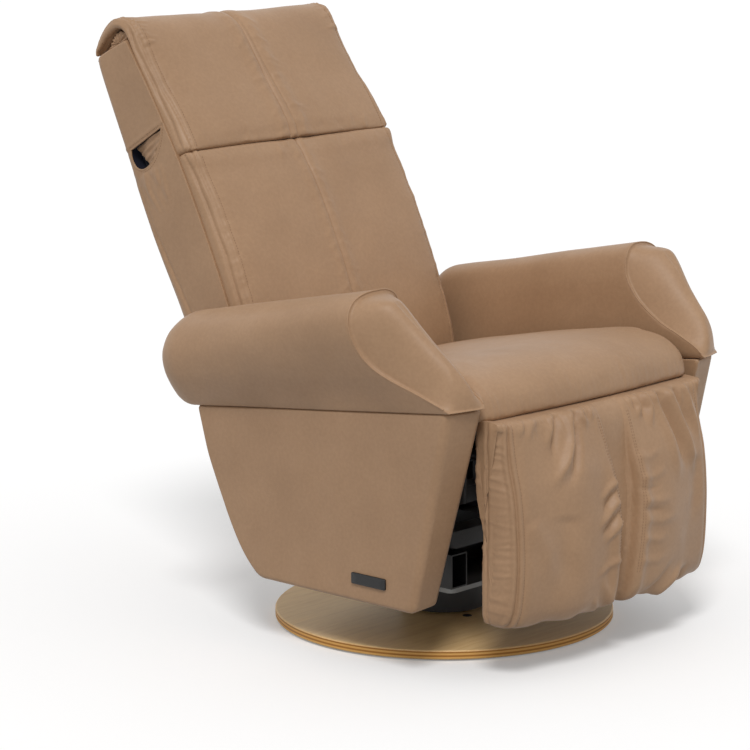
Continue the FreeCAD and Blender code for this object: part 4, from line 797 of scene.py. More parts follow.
# Profiles of both back pads, front and rear, as places up the back and forward of its pivot
LOWER_FRONT = [(-14, 24), (-17, 34), (-12, 47), (8, 57), (60, 71), (144, 83), (242, 89), (347, 86), (400, 81),
               (430, 80), (437.5, 78.5), (439.4, 74)]
LOWER_REAR = [(439, 40), (420, 34), (330, 37), (200, 36), (90, 30), (10, 22), (-12, 22)]


def lower_back_pad():
    pad = back_slab("lower_back_pad", LOWER_FRONT, LOWER_REAR)
    inflate(pad, BACK_FRAME, 1.5, 8.0, back_free)

    def relief(p, n):
        front = smooth(-n[:, 1] * 2)
        x, u = p[:, 0], p[:, 2]
        out = groove(x, 3.6, 2.6, 1.6, 20) + noise(p, 110, 5) * 1.6 + noise(p, 42, 6) * 0.5
        band = edge_band(p, n)
        out += 1.2 * bell(u - 420, 16) * smooth(np.abs(x) / 30) * (1 + 0.4 * noise(p, 24, 7))
        rng = np.random.default_rng(5)

        def from_side(u, hand):
            return [(hand * 248, u), (hand * (248 - rng.uniform(18, 46)), u + rng.uniform(-26, -6))]

        def from_seam(u, hand):
            return [(hand * 3, u), (hand * rng.uniform(24, 50), u - rng.uniform(4, 26))]

        def from_top(x, _):
            reach = rng.uniform(16, 44)
            return [(x, 436), (x + rng.uniform(-12, 12), 436 - reach)]
        wrinkle(out, p, rng, range(40, 430, 26), 12, from_side, 6, 0.15, 0.6)
        wrinkle(out, p, rng, range(30, 430, 25), 8, from_seam, 4.5, 0.3, 0.9)
        wrinkle(out, p, rng, [0] * 14, 240, from_top, 5, 0.3, 0.9, [1])
        return out * front + band
    press(pad, relief)
    back_stitches("lower_back_stitches", pad, (-8, 430))
    dress(pad, BACK_FRAME, "back", ["back_pad"])


def back_stitches(name, pad, reach):
    rows = [[(side * (BACK_HALF - BAND_STITCH), -80, u) for u in reach] for side in (-1, 1)]
    stitches(name, pad, rows, (0, 1, 0), "back", BACK_FRAME)


HEAD_FRONT = [(440, 42), (439.8, 74), (441.6, 78.4), (449, 79.5), (500, 72), (560, 60), (615, 51), (655, 45),
              (684, 38), (706, 27), (718, 10), (722, -10), (717, -32), (706, -52), (693, -68), (683, -77),
              (673, -83)]
HEAD_REAR = [(671, -78), (679, -72), (684, -62), (692, -47), (700, -29), (703.5, -10), (700, 4), (690, 12),
             (675, 15), (640, 16), (580, 22), (510, 28), (441, 34)]


def head_strip(u):
    """Half width of the narrow strip between the head pad's two centre seams."""
    return STRIP_FOOT + (STRIP_TOP - STRIP_FOOT) * smooth((u - BACK_SEAM) / 260)


def head_rest_pad():
    pad = back_slab("head_rest_pad", HEAD_FRONT, HEAD_REAR)
    inflate(pad, BACK_FRAME, 1.0, 7.0, back_free)

    def relief(p, n):
        x, w, u = p[:, 0], -p[:, 1], p[:, 2]
        outer = smooth((n[:, 2] * 1.2 - n[:, 1]) * 2 + 0.3)
        over = np.stack([x, w, u - w], 1)
        strip = head_strip(u)
        left, right = groove(x + strip, 4.4, 2.6), groove(x - strip, 2.4, 2.2)
        out = left + right + 1.0 * bell(x, 4.0) + 2.4 * bell(np.abs(x) - strip - 16, 13)
        out += noise(p, 100, 8) * 1.6 + noise(p, 40, 9) * 0.6
        band = edge_band(p, n)
        rng = np.random.default_rng(8)

        def from_seam(u, hand):
            return [(hand * 10, u), (hand * (10 + rng.uniform(20, 70)), u + rng.uniform(-40, 4))]

        def from_side(u, hand):
            return [(hand * 251, u), (hand * rng.uniform(205, 232), u - rng.uniform(0, 18))]

        def from_foot(x, _):
            return [(x, 441), (x + rng.uniform(-14, 14), 441 + rng.uniform(16, 60))]
        wrinkle(out, p, rng, range(455, 719, 22), 6, from_seam, 5, 0.4, 1.4)
        wrinkle(out, over, rng, range(612, 755, 11), 3, from_side, 3.6, 0.7, 2.0)
        wrinkle(out, p, rng, [0] * 16, 240, from_foot, 5, 0.3, 1.0, [1])
        return out * outer + band * (0.3 + 0.7 * outer)
    press(pad, relief)
    back_stitches("head_rest_stitches", pad, (446, 700))
    dress(pad, BACK_FRAME, "back", ["head_pad"])


def wrap_lining():
    """Crumpled leather that shows inside the fold over the top of the back."""
    outer = [(680, -50), (687, -40), (695, -26), (699, -10), (695, 2), (686, 10), (680, 13)]
    rear = [(679, 11), (679, -8), (679, -28), (679, -48)]
    profile = section(outer, rear, 40)
    sections = [[(x, -w, u) for u, w in profile] for x in np.linspace(-LINING_HALF, LINING_HALF, 150)]
    lining = slab("wrap_lining", sections, bulge=2.0)

    def relief(p, n):
        end = smooth((np.abs(p[:, 0]) - LINING_HALF + 40) / 40)
        pleats = np.sin(np.arctan2(p[:, 2] - 679, -p[:, 1] + 20) * 15 + noise(p, 20, 61) * 2)
        return -1.5 * end + noise(p, 16, 62) * 1.2 + pleats * end * 1.4
    press(lining, relief)
    dress(lining, BACK_FRAME, "back")


# Cover behind and beside the back
COVER_OUTER = [(-34, 10), (-34, -12), (-30, -38), (-8, -62), (40, -76), (110, -80), (200, -81), (312, -85),
               (437, -84), (560, -82), (640, -80), (670, -77), (676.5, -72), (678, -60), (678, -20), (677, 9)]
COVER_INNER = [(672, 14), (655, 17), (560, 31), (440, 43), (320, 46.5), (200, 45), (80, 36), (-20, 22),
               (-33, 15)]

# Half-moon mouth of a side pocket, as Y and Z of the back's frame
MOUTH_CHORD = [(63, 495), (-31, 503)]
MOUTH_SAG = [(-31, 503), (-22, 489), (-10, 476), (9, 461), (31, 452), (50, 452), (63, 461), (67, 478),
             (63, 495)]

# Pocket's bag: height, length and depth
POUCH_ROWS = ((511, 96, 6), (503, 99, 12), (480, 100, 22), (440, 99, 32), (400, 96, 36), (365, 88, 34),
              (348, 76, 24), (342, 60, 12))
# Seams on the cover's side, over the pocket's mouth and along the front, in the same places, and on its rear
POCKET_SEAM = [(84, 493), (63, 496), (-31, 504), (-44, 507)]
COVER_SEAM = [(76, 447), (69, 423), (71, 350), (65, 305), (51, 182), (46, 120), (40, 20)]
REAR_SEAM = 236.0


def cover_section(x):
    """Section of the cover at a place across it, as if its front were closed."""
    inset = edge_drop(COVER_HALF - abs(x), COVER_ROUND)
    outer = []
    for u, w in COVER_OUTER:
        high = u - inset * 0.35 * smooth((u - 600) / 80) + inset * 0.5 * smooth((20 - u) / 50)
        outer.append((high, w + inset * smooth((10 - w) / 60)))
    return [(x, -w, u) for u, w in section(outer, COVER_INNER, COVER_COUNT)]


def mouth_line():
    """Points round the pocket's mouth."""
    return np.concatenate([open_curve(MOUTH_SAG, 60)[:-1], resample(MOUTH_CHORD, 30)[:-1]])


def pocket_mouth(cover, side):
    """Sinks a mouth into the cover's side and lines it with cloth."""
    outline = mouth_line()
    n = len(outline)
    depths = (side * (COVER_HALF - MOUTH_DEPTH), side * (COVER_HALF + 20))
    points = [(x, y, z) for x in depths for y, z in outline]
    faces = ring_faces(2, n) + [list(range(n))[::-1], list(range(n, 2 * n))]
    cutter = new_object("mouth_cutter", points, faces)
    turn_outward(cutter)
    cutter.data.materials.append(POCKET_CLOTH)
    cut = cover.modifiers.new("mouth", "BOOLEAN")
    cut.object = cutter
    cut.solver = "EXACT"
    cut.material_mode = "TRANSFER"
    apply_modifiers(cover)
    bpy.data.objects.remove(cutter)


def apply_modifiers(thing):
    """Puts what the modifiers make into the mesh."""
    graph = bpy.context.evaluated_depsgraph_get()
    made = bpy.data.meshes.new_from_object(thing.evaluated_get(graph), depsgraph=graph)
    thing.modifiers.clear()
    thing.data = made


def back_cover():
    sections = [cover_section(x) for x in stations(COVER_HALF, COVER_ROUND, 5)]
    cover = slab("rear_cover", sections, bulge=1.0, cap_rows=44)

    def relief(p, n):
        x, u = p[:, 0], p[:, 2]
        side = smooth(np.abs(n[:, 0]) * 2 - 0.6)
        rear = smooth(n[:, 1] * 2)
        out = noise(p, 100, 12) * 1.2 * (side * 0.8 + rear)
        chord, _, _ = line_field(p, POCKET_SEAM, (1, 2))
        out += (groove(chord, 1.2, 2.0) + 1.1 * bell(chord + 5, 4)) * side
        seam, _, _ = line_field(p, COVER_SEAM, (1, 2))
        out += (groove(seam, 2.2, 2.2) + 1.2 * bell(seam - 8, 6)) * side
        rng = np.random.default_rng(21)
        for _ in range(9):
            start = (rng.uniform(2, 60), 450 - rng.uniform(0, 8))
            line = [start, (start[0] + rng.uniform(-24, 12), start[1] - rng.uniform(30, 100))]
            out += fold(p, line, 5, rng.uniform(0.6, 2.0), (1, 2)) * side
        out += (groove(np.abs(x) - REAR_SEAM, 1.8, 2.6) + 0.9 * bell(np.abs(x) - REAR_SEAM - 10, 7)) * rear
        out += groove(u - 500, 1.3, 2.4) * rear * smooth((REAR_SEAM - np.abs(x)) / 6)
        return out
    press(cover, relief)
    cover.data.materials.append(LEATHER)
    for side in (-1, 1):
        pocket_mouth(cover, side)
    for side, name in SIDE_NAMES.items():
        rows = [[(side * 300, y - 2, z - 4.5) for y, z in open_curve(MOUTH_SAG[:7], 30)],
                [(side * 300, y, z + 4.5) for y, z in MOUTH_CHORD]]
        stitches(name + "_pocket_stitches", cover, rows, (-side, 0, 0), "back", BACK_FRAME)
    dress(cover, BACK_FRAME, "back", ["back_cover"])
    for side, name in SIDE_NAMES.items():
        pocket_lips(side, name)
        pocket_pouch(side, name)
        pocket_lining(side, name)


def tube(name, path, radius, closed=False, sides=10):
    """Round welt along a path of points."""
    path = np.asarray(path, float)
    count = len(path)
    ahead = np.roll(path, -1, 0) - np.roll(path, 1, 0)
    if not closed:
        ahead[0] = path[1] - path[0]
        ahead[-1] = path[-1] - path[-2]
    ahead /= np.linalg.norm(ahead, axis=1)[:, None]
    reference = np.array([1.0, 0, 0]) if abs(ahead[0][0]) < 0.7 else np.array([0, 0, 1.0])
    turn = np.linspace(0, 2 * math.pi, sides, endpoint=False)[:, None]
    rings = []
    for point, run in zip(path, ahead):
        side = np.cross(run, reference)
        side /= np.linalg.norm(side)
        up = np.cross(side, run)
        rings.append(point + radius * (np.cos(turn) * side + np.sin(turn) * up))
    if not closed:
        return skin(name, rings, bulge=radius * 0.5, cap_rings=3)
    faces = np.array(ring_faces(count + 1, sides)) % (count * sides)
    thing = new_object(name, np.concatenate(rings), faces.tolist())
    turn_outward(thing)
    return thing


def pocket_lips(side, name):
    """Rolled edge of leather round the mouth."""
    path = [(side * (COVER_HALF - 0.6), y, z) for y, z in mouth_line()]
    dress(tube(name + "_pocket_lips", path, LIP_RADIUS, closed=True), BACK_FRAME, "back")


def pocket_pouch(side, name):
    """Thin cloth bag that hangs inside the cover under the mouth."""
    rings = []
    turn = np.linspace(0, 2 * math.pi, 48, endpoint=False)
    cos, sin = np.cos(turn), np.sin(turn)
    for u, wide, deep in POUCH_ROWS:
        y = 16 + wide / 2 * np.sign(cos) * np.abs(cos) ** 0.6
        x = side * (COVER_HALF - MOUTH_DEPTH + 5 - deep / 2 + deep / 2 * np.sign(sin) * np.abs(sin) ** 0.7)
        rings.append(np.stack([x, y, np.full(len(y), float(u))], 1))
    pouch = skin(name + "_pocket_pouch", rings, bulge=2, cap_rings=4)
    dress(pouch, BACK_FRAME, "back", [name + "_side_pocket"], "pocket_cloth")


def pocket_lining(side, name):
    """Gathered leather that closes the front of the mouth and leaves a dark slit at its rear."""
    sag = open_curve(MOUTH_SAG, 200)
    rows = []
    for u in np.linspace(453, 498, 40):
        front = np.interp(u, sag[:110][::-1, 1], sag[:110][::-1, 0])
        chord_top = 503 - (front + 31) * 8 / 94
        slit = 36 + (u - 453) * 24 / 45
        ys = np.linspace(max(front, -30) + 0.5, slit, 60)
        share = np.linspace(0, 1, 60)
        depth = 2.5 + 9 * share ** 1.5 + 1.3 * np.sin(share * 9 + (u - 453) * 0.16) * smooth(share * 6)
        depth += 1.0 * np.sin(u * 0.55 + share * 5)
        face = np.stack([side * (COVER_HALF - depth), ys, np.full(60, min(u, chord_top))], 1)
        rear = face.copy()
        rear[:, 0] -= side * 2.0
        rows.append(np.concatenate([face, rear[::-1]]))
    lining = slab(name + "_pocket_lining", rows, bulge=0.5, cap_rows=4)
    dress(lining, BACK_FRAME, "back")


# Leg rest, its front as places forward and up
LEG_FRONT = ((4, 40.5), (22, 35), (35, 12), (46, -28), (57, -78), (63, -130), (65, -178), (64, -222),
             (60, -262), (53, -288), (42, -301), (22, -307))


def leg_ring(x):
    """Outline of the leg pad from top to foot, at a place across it, as (forward, up)."""
    drop = edge_drop(LEG_HALF - abs(x), LEG_EDGE_FRONT)
    foot = edge_drop(LEG_HALF - abs(x), LEG_EDGE_FOOT) * 0.8
    share = abs(x) / LEG_HALF
    wrap = smooth((abs(x) - BAND_SEAM - 2) / 5)
    rear = LEG_REAR - LEG_WRAP * wrap
    foot_rear = LEG_REAR + 3 * wrap
    steps = [(rear, 34), (rear + 6, 39)]
    for f, v in LEG_FRONT:
        down = smooth((-v - 200) / 100)
        forward = f - (drop + 15 * share ** 2.5) * smooth((40 - v) / 60 + 0.15)
        steps.append((max(forward, rear + 14), v + foot * down * 0.8))
    steps += [(0, -306 + foot * 1.3), (foot_rear + 5, -300 + foot * 1.6), (foot_rear, -290 + foot * 1.6)]
    steps += [(foot_rear, -235), (foot_rear, -150), (rear, -80), (rear, 10)]
    return [(x, -f, v) for f, v in steps]


# Seams of the leg rest's centre strip, as places across and up
STRIP_LEFT = ((-33, 42), (-31, 20), (-27, -13), (-22, -54), (-20, -88), (-17, -124), (-16, -166), (-17, -226),
              (-20, -300))
STRIP_RIGHT = ((36, 42), (35, 20), (36, -14), (37, -58), (37, -98), (35, -133), (31, -174), (26, -218),
               (22, -257), (20, -308))


def across_at(line, v):
    """Place across of a seam at a height."""
    line = np.array(line)[::-1]
    return np.interp(v, line[:, 1], line[:, 0])


def leg_lobes(p, n):
    """The two stuffed halves, the sunk centre strip and the side bands."""
    x, v = p[:, 0], p[:, 2]
    left = across_at(STRIP_LEFT, v) - x
    right = x - across_at(STRIP_RIGHT, v)
    down = smooth((24 - v) / 90) * smooth((v + 335) / 60)
    out = np.zeros(len(p))
    for beyond, place, high in ((left, 86.0, 11.0), (right, 80.0, 10.0)):
        belly = high * bell(beyond - place, 62) * smooth((beyond + 4) / 20)
        roll = 8.5 * bell(beyond - 12, 15) * smooth((-40 - v) / 60)
        out += (belly + roll) * down * (beyond > -8)
    out -= smooth((3 - np.maximum(left, right)) / 6) * (3.0 + 13.0 * down)
    inward = BAND_SEAM - np.abs(x)
    out += groove(inward, 3.0, 1.9) + 2.4 * bell(inward + 4.5, 2.6) + 2.2 * bell(inward - 4.5, 2.8)
    out += groove(inward - BAND_STITCHES, 1.4, 1.6) + groove(inward + 9, 0.9, 1.6)
    return out * smooth(-n[:, 1] * 1.8)


# Folds of the leg rest, as lines across and up, width and height
LEG_FOLDS = (
    (((-126, 46), (-140, 25), (-156, -4), (-168, -40)), 8, -6.0),
    (((-142, 46), (-160, 18), (-176, -14)), 8, 5.0),
    (((-100, 46), (-112, 21), (-122, -10), (-146, -42), (-184, -80)), 9, 8.5),
    (((-84, 44), (-94, 18), (-102, -14), (-124, -52), (-156, -84)), 8, -7.5),
    (((-70, 46), (-76, 24), (-60, 6)), 6, 3.4), (((-156, 48), (-156, 22)), 6, 2.6),
    (((-176, 47), (-198, 30), (-222, 4)), 7, 3.4), (((-140, 48), (-146, 20)), 5, -2.4),
    (((-196, 46), (-214, 20)), 6, 2.4), (((-218, 44), (-232, 14)), 5, 2.4), (((-52, 44), (-48, 14)), 5, 2.6),
    (((-26, -84), (-45, -95), (-76, -116)), 6, 3.6), (((-28, -98), (-44, -112), (-70, -136)), 5, -3.6),
    (((-26, -114), (-46, -133), (-84, -160)), 7, 4.6), (((-24, -132), (-42, -152), (-78, -178)), 5, -3.8),
    (((-20, -150), (-38, -168), (-66, -190)), 6, 3.6), (((-18, -219), (-48, -226), (-86, -244)), 7, 2.6),
    (((-30, -300), (-56, -262), (-66, -236)), 9, 3.2), (((-60, -306), (-84, -276)), 7, 2.4),
    (((-230, -120), (-196, -180), (-180, -240)), 18, 2.6),
    (((-150, -120), (-158, -190), (-140, -260)), 22, -3.4), (((52, 44), (58, 20)), 5, 2.6),
    (((68, 46), (72, 20), (62, -4)), 6, 5.6), (((84, 47), (88, 18), (76, -10)), 5, -3.6),
    (((98, 47), (102, 14), (92, -22)), 6, 6.0), (((116, 46), (122, 16)), 5, 2.8),
    (((138, 44), (140, 20), (152, -11), (166, -54), (178, -112)), 9, -8.0),
    (((158, 44), (170, 1), (184, -43), (198, -83), (212, -130)), 10, 8.0),
    (((122, 46), (126, 10), (134, -30), (142, -80), (150, -130)), 12, 4.5),
    (((186, 44), (192, 12), (206, -23), (222, -60)), 7, -4.2),
    (((204, 44), (214, 12), (228, -30), (238, -70)), 7, 4.2), (((222, 42), (236, 10), (244, -20)), 6, -2.4),
    (((40, -58), (70, -62), (109, -50)), 7, 1.8), (((40, -92), (76, -96), (116, -84)), 7, 2.0),
    (((40, -130), (80, -138), (122, -140)), 8, 2.6), (((40, -146), (70, -153), (100, -158)), 5, -1.8),
    (((38, -163), (86, -174), (148, -170)), 8, 2.2), (((36, -195), (80, -205), (112, -203)), 7, 1.8),
    (((30, -233), (80, -242), (116, -232)), 8, 1.8), (((36, -110), (66, -116), (96, -112)), 5, -1.4),
    (((92, -318), (131, -293), (176, -262)), 9, 7.0), (((110, -326), (152, -300), (200, -268)), 8, -5.0),
    (((60, -312), (104, -280), (140, -246)), 9, -3.4), (((214, -80), (206, -150), (186, -210)), 18, -4.0),
)


def leg_rest_pad():
    rings = [closed_curve(leg_ring(x), 330) for x in stations(LEG_HALF, LEG_EDGE_FRONT, 2.2)]
    pad = skin("leg_rest_pad", rings, bulge=2.0)
    press(pad, leg_lobes)

    def relief(p, n):
        x, v = p[:, 0], p[:, 2]
        front = smooth(-n[:, 1] * 1.6 + 0.1) * smooth((43 - v) / 12)
        out = np.zeros(len(p))
        for line, width, height in LEG_FOLDS:
            out += fold(p, line, width, height * FOLD_DEPTH)
        rng = np.random.default_rng(17)
        for place in np.arange(-238, 242, 9.0):
            if -STRIP_TOP_HALF - 3 < place < STRIP_TOP_HALF + 5:
                continue
            here = place + rng.uniform(-3, 3)
            line = [(here, 44), (here + rng.uniform(-8, 8), 26 - rng.uniform(4, 40))]
            out += fold(p, line, 3.2, rng.uniform(0.8, 2.4))
        gathers = np.zeros(len(p))
        for k in range(30):
            place = 22 - 11.6 * k + rng.uniform(-4, 4)
            height = rng.uniform(0.4, 1.4)
            lean = rng.uniform(-0.35, 0.35)
            gathers += height * bell(v - place + lean * (p[:, 1] + 30), rng.uniform(2.6, 4.4))
        out = out * front * smooth((BAND_SEAM - 8 - np.abs(x)) / 8)
        out += gathers * smooth((np.abs(x) - BAND_SEAM - 4) / 6)
        out += noise(p, 70, 31) * 1.6 + noise(p, 30, 32) * 0.7 * front
        hem = smooth((-285 - v) / 30) * smooth((BAND_SEAM - 8 - np.abs(x)) / 8)
        out += hem * 2.2 * np.sin(x / 13 + noise(p, 40, 33) * 2)
        return out
    press(pad, relief)

    def side_seam(p, n):
        away = -p[:, 1] + LEG_SIDE_SEAM
        out = groove(away, 1.6, 1.8) + 0.9 * bell(away - 6, 4) + 0.7 * bell(away + 6, 4)
        return out * smooth(np.abs(n[:, 0]) * 3 - 1.2)
    press(pad, side_seam)
    rows = [[(side * (BAND_SEAM - BAND_STITCHES), -60, v) for v in (30, -300)] for side in (-1, 1)]
    for line, hand in ((STRIP_LEFT, -1), (STRIP_RIGHT, 1)):
        for extra in (5, 9):
            rows.append([(x + hand * extra, -60, v) for x, v in line[1:-1]])
    stitches("leg_rest_stitches", pad, rows, (0, 1, 0), "leg_rest", LEG_FRAME)
    dress(pad, LEG_FRAME, "leg_rest", ["legrest_pad"])


# Arms
def arm_base(y):
    """Height of the seam between an arm and its panel."""
    return ARM_FOOT_REAR + (462 - ARM_FOOT_REAR) * (252 - y) / 575


def arm_crest(y):
    return 553 + (645 - 553) * (ARM_REAR - y) / (ARM_REAR - ARM_APEX)


# Sections of an arm as shares of its width and height, from the inner foot up and over to the outer foot
ARM_REAR_SHARES = ((0.02, 0.0), (-0.005, 0.05), (-0.01, 0.25), (0.0, 0.5), (0.03, 0.72), (0.1, 0.9),
                   (0.24, 0.985), (0.42, 1.0), (0.61, 0.955), (0.8, 0.85), (0.91, 0.69), (0.93, 0.54),
                   (0.87, 0.36), (0.76, 0.2), (0.63, 0.06), (0.55, 0.0))
ARM_TIP_SHARES = ((0.02, 0.0), (-0.005, 0.05), (-0.01, 0.25), (0.0, 0.5), (0.02, 0.74), (0.1, 0.92),
                  (0.26, 0.99), (0.46, 1.0), (0.68, 0.985), (0.88, 0.93), (1.0, 0.82), (1.01, 0.67),
                  (0.94, 0.5), (0.82, 0.33), (0.68, 0.17), (0.55, 0.0))


def arm_section(shares):
    """Evenly spaced points round an arm, the flat foot included."""
    over = open_curve(shares, 600)
    return resample(np.concatenate([over, resample([over[-1], over[0]], 60)[1:-1]]), ARM_COUNT, closed=True)


REAR_SECTION = arm_section(ARM_REAR_SHARES)
TIP_SECTION = arm_section(ARM_TIP_SHARES)


# Rim of the slanted face along its inner and outer side, as height and place along
INNER_RIM = ((460, -354), (478, -337), (498, -297), (516, -254), (539, -218), (558, -196), (585, -177),
             (606, -170), (632, -168), (690, -166))
OUTER_RIM = ((440, -332), (462, -324), (483, -280), (505, -231), (525, -197), (551, -176), (582, -164),
             (615, -158), (640, -157), (690, -157))
# How far the face stands out of its rim at a height, and how much further at its outer side
FACE_CROWN = ((452, 3), (470, 11), (490, 26), (515, 45), (550, 55), (590, 51), (620, 34), (640, 20),
              (660, 11))
OUTER_CROWN = ((452, 12), (470, 29), (490, 45), (515, 54), (550, 46), (590, 27), (620, 11), (640, 5),
               (660, 2))
FACE_OUT = np.array([0.0, -0.82, 0.57])


def at_height(table, z, count=120):
    return np.interp(z, *open_curve(table, count).T)


def arm_front(x, z):
    """Where the rim of the slanted front face lies, at a place across (from 0 outward) and a height."""
    inner, outer = at_height(INNER_RIM, z), at_height(OUTER_RIM, z)
    return inner + (outer - inner) * smooth((x - PANEL_INNER) / 100)


def arm_ring(y, scale):
    """A section of the arm at places along it, drawn in towards its middle."""
    change = np.broadcast_to(smooth((ARM_REAR - 40 - y) / 360), (ARM_COUNT,))[:, None]
    shares = REAR_SECTION + (TIP_SECTION - REAR_SECTION) * change
    middle = np.array([0.46, 0.5])
    point = middle + (shares - middle) * scale
    low, high = arm_base(y), arm_crest(y)
    x = PANEL_INNER + ARM_WIDTH * point[:, 0]
    z = low + (high - low) * point[:, 1]
    return np.stack([x, np.broadcast_to(y, x.shape), z], 1)


def arm_rim():
    """The arm's outline where its slanted front face cuts it, and the place along at each point."""
    end = np.full(ARM_COUNT, -200.0)
    for _ in range(RIM_PASSES):
        ring = arm_ring(end, 1.0)
        end = end * 0.5 + arm_front(ring[:, 0], ring[:, 2]) * 0.5
    return arm_ring(end, 1.0), end


def face_middle(rim):
    """For each point of the rim, the one on the face's middle line that it runs to."""
    x = np.linspace(PANEL_INNER + 64, PANEL_INNER + 46, 60)
    z = np.linspace(592, 506, 60)
    spine = np.stack([x, arm_front(x, z), z], 1)
    nearest = spine[np.linalg.norm(rim[:, None] - spine[None], axis=2).argmin(axis=1)]
    for _ in range(24):
        nearest = (np.roll(nearest, 1, 0) + nearest * 2 + np.roll(nearest, -1, 0)) / 4
    return nearest


def unit(vectors):
    return vectors / np.linalg.norm(vectors, axis=1)[:, None]


def face_rings(last, middle):
    """Domed rings from the edge of the face to its middle line, smoothed."""
    rings = []
    for t in np.linspace(0, 1, FACE_RINGS)[:-1]:
        ring = last + (middle - last) * t * 0.99
        ring[:, 1] += (arm_front(ring[:, 0], ring[:, 2]) - ring[:, 1]) * smooth(t * 5)
        outward = np.clip((ring[:, 0] - PANEL_INNER) / 110, 0, 1)
        height = at_height(FACE_CROWN, ring[:, 2], 160) + at_height(OUTER_CROWN, ring[:, 2], 160) * outward
        rings.append(ring + FACE_OUT * (height * (1 - (1 - t) ** 2.6))[:, None])
    face = np.array(rings)
    for _ in range(FACE_PASSES):
        around = np.roll(face, 1, 1) + np.roll(face, -1, 1)
        face[1:-1] += (face[:-2] + face[2:] + around[1:-1] - 4 * face[1:-1]) * FACE_SPREAD
        face[-1] += (around[-1] / 2 + face[-2] - 2 * face[-1]) * FACE_SPREAD
    return face


def arm_bolster(side, name):
    rings = []
    for turn in np.linspace(0, math.pi / 2, 18)[:-1]:
        y = ARM_REAR - ARM_REAR_ROUND * (1 - math.cos(turn))
        rings.append(arm_ring(y, 1 - ARM_REAR_SHRINK * (1 - math.sin(turn))))
    rim, end = arm_rim()
    middle = face_middle(rim)
    first = rim + unit(arm_ring(end + 10, 1.0) - rim) * ARM_FILLET
    last = rim + unit(middle - rim) * ARM_FILLET
    start = ARM_REAR - ARM_REAR_ROUND
    for t in np.linspace(0, 1, 92):
        rings.append(arm_ring(start + (first[:, 1] - start) * t, 1.0))
    for t in np.linspace(0, 1, 7)[1:-1]:
        rings.append((1 - t) ** 2 * first + 2 * t * (1 - t) * rim + t * t * last)
    rings = np.concatenate([rings, face_rings(last, middle)])
    rings[:, :, 0] *= side
    arm = skin(name + "_arm_bolster", rings, bulge=0.5, cap_rings=10)

    def relief(p, n):
        out = noise(p, 120, 41 if side > 0 else 42) * 1.5 + noise(p, 45, 43) * 0.45
        return out * smooth((p[:, 2] - arm_base(p[:, 1])) / 14)
    press(arm, relief)
    arm_seam(arm, (0.25 * first + 0.5 * rim + 0.25 * last) * (side, 1, 1), name)
    dress(arm, CHAIR_FRAME, "chassis", [name + "_arm_pad"])


def arm_seam(arm, rim, name):
    """Thin welt where the arm meets its front face, left out along the foot."""
    path = rim[TIP_SECTION[:, 1] > 0.03]
    gaps = np.linalg.norm(np.diff(path, axis=0), axis=1)
    if gaps.max() > 20:
        path = np.roll(path, -int(np.argmax(gaps)) - 1, 0)
    tree = tree_of(arm)
    snapped = []
    for point in resample(path, 260):
        hit, normal, _, _ = tree.find_nearest(Vector(point))
        snapped.append(np.array(hit) + np.array(normal) * WELT_LIFT)
    dress(tube(name + "_arm_welt", snapped, WELT_RADIUS, sides=8), CHAIR_FRAME, "chassis")


# Side panels
PANEL_STEPS = (1, 0.8, 0.62, 0.48, 0.36, 0.26, 0.18, 0.12, 0.07, 0.035, 0.012, 0)
PANEL_REAR_EDGE = ((138, 142), (160, 170), (181, 206), (199, 244), (217, 281), (233, 318), (243, 352))


def panel_line(x):
    """Outline of a panel as Y and Z, at a place across it."""
    away = PANEL_OUTER - x
    front, foot, rear, top = (edge_drop(away, r) for r in (PANEL_ROUND, 9.0, 7.0, 5.0))
    lead = away / (PANEL_OUTER - PANEL_INNER)
    front_top = (-323 - 14 * lead + front, arm_base(-323) - 0.8 - top, 7)
    front_foot = (-247 + 8 * lead + front, 116 + foot, 12)
    corners = [front_top, front_foot, (112 - rear, 116 + foot, 14)]
    corners += [(y - rear, max(z, 116 + foot), 30) for y, z in PANEL_REAR_EDGE]
    corners.append((255 - rear, arm_base(255) - 0.8 - top, 5))
    return rounded_loop(corners, 440)


def side_panel(side, name):
    depths = list(np.linspace(PANEL_OUTER - PANEL_INNER - 0.4, PANEL_ROUND + 2, 12))
    depths += [PANEL_ROUND * share for share in PANEL_STEPS]
    rings = []
    for depth in depths:
        line = panel_line(PANEL_OUTER - depth)
        rings.append(np.insert(line, 0, side * (PANEL_OUTER - depth), axis=1))
    panel = skin(name + "_panel_cover", rings, bulge=3.0, cap_rings=50)

    def relief(p, n):
        flat = smooth(np.abs(n[:, 0]) * 3 - 1.5)
        return noise(p, 130, 51) * 1.0 * flat + noise(p, 50, 52) * 0.3 * flat
    press(panel, relief)
    dress(panel, CHAIR_FRAME, "chassis", [name + "_side_panel"])


BADGE_ROUND = 2.5


def badge():
    """Bare dark plate near the foot of the right panel."""
    rings = []
    for x, inset in ((-353.6, 0.0), (-358.6, 0.0), (-359.4, 0.8)):
        ring = []
        for y, z, quarter in ((-114.5, 150.5, 3), (-114.5, 164.5, 0), (-185.5, 164.5, 1), (-185.5, 150.5, 2)):
            for k in range(5):
                turn = math.pi / 2 * (quarter + k / 4)
                reach = BADGE_ROUND - inset
                ring.append((x, y + reach * math.cos(turn), z + reach * math.sin(turn)))
        rings.append(ring)
    plate = skin("panel_badge", rings, bulge=0.2, cap_rings=3)
    dress(plate, CHAIR_FRAME, "chassis", slot="black_plastic")


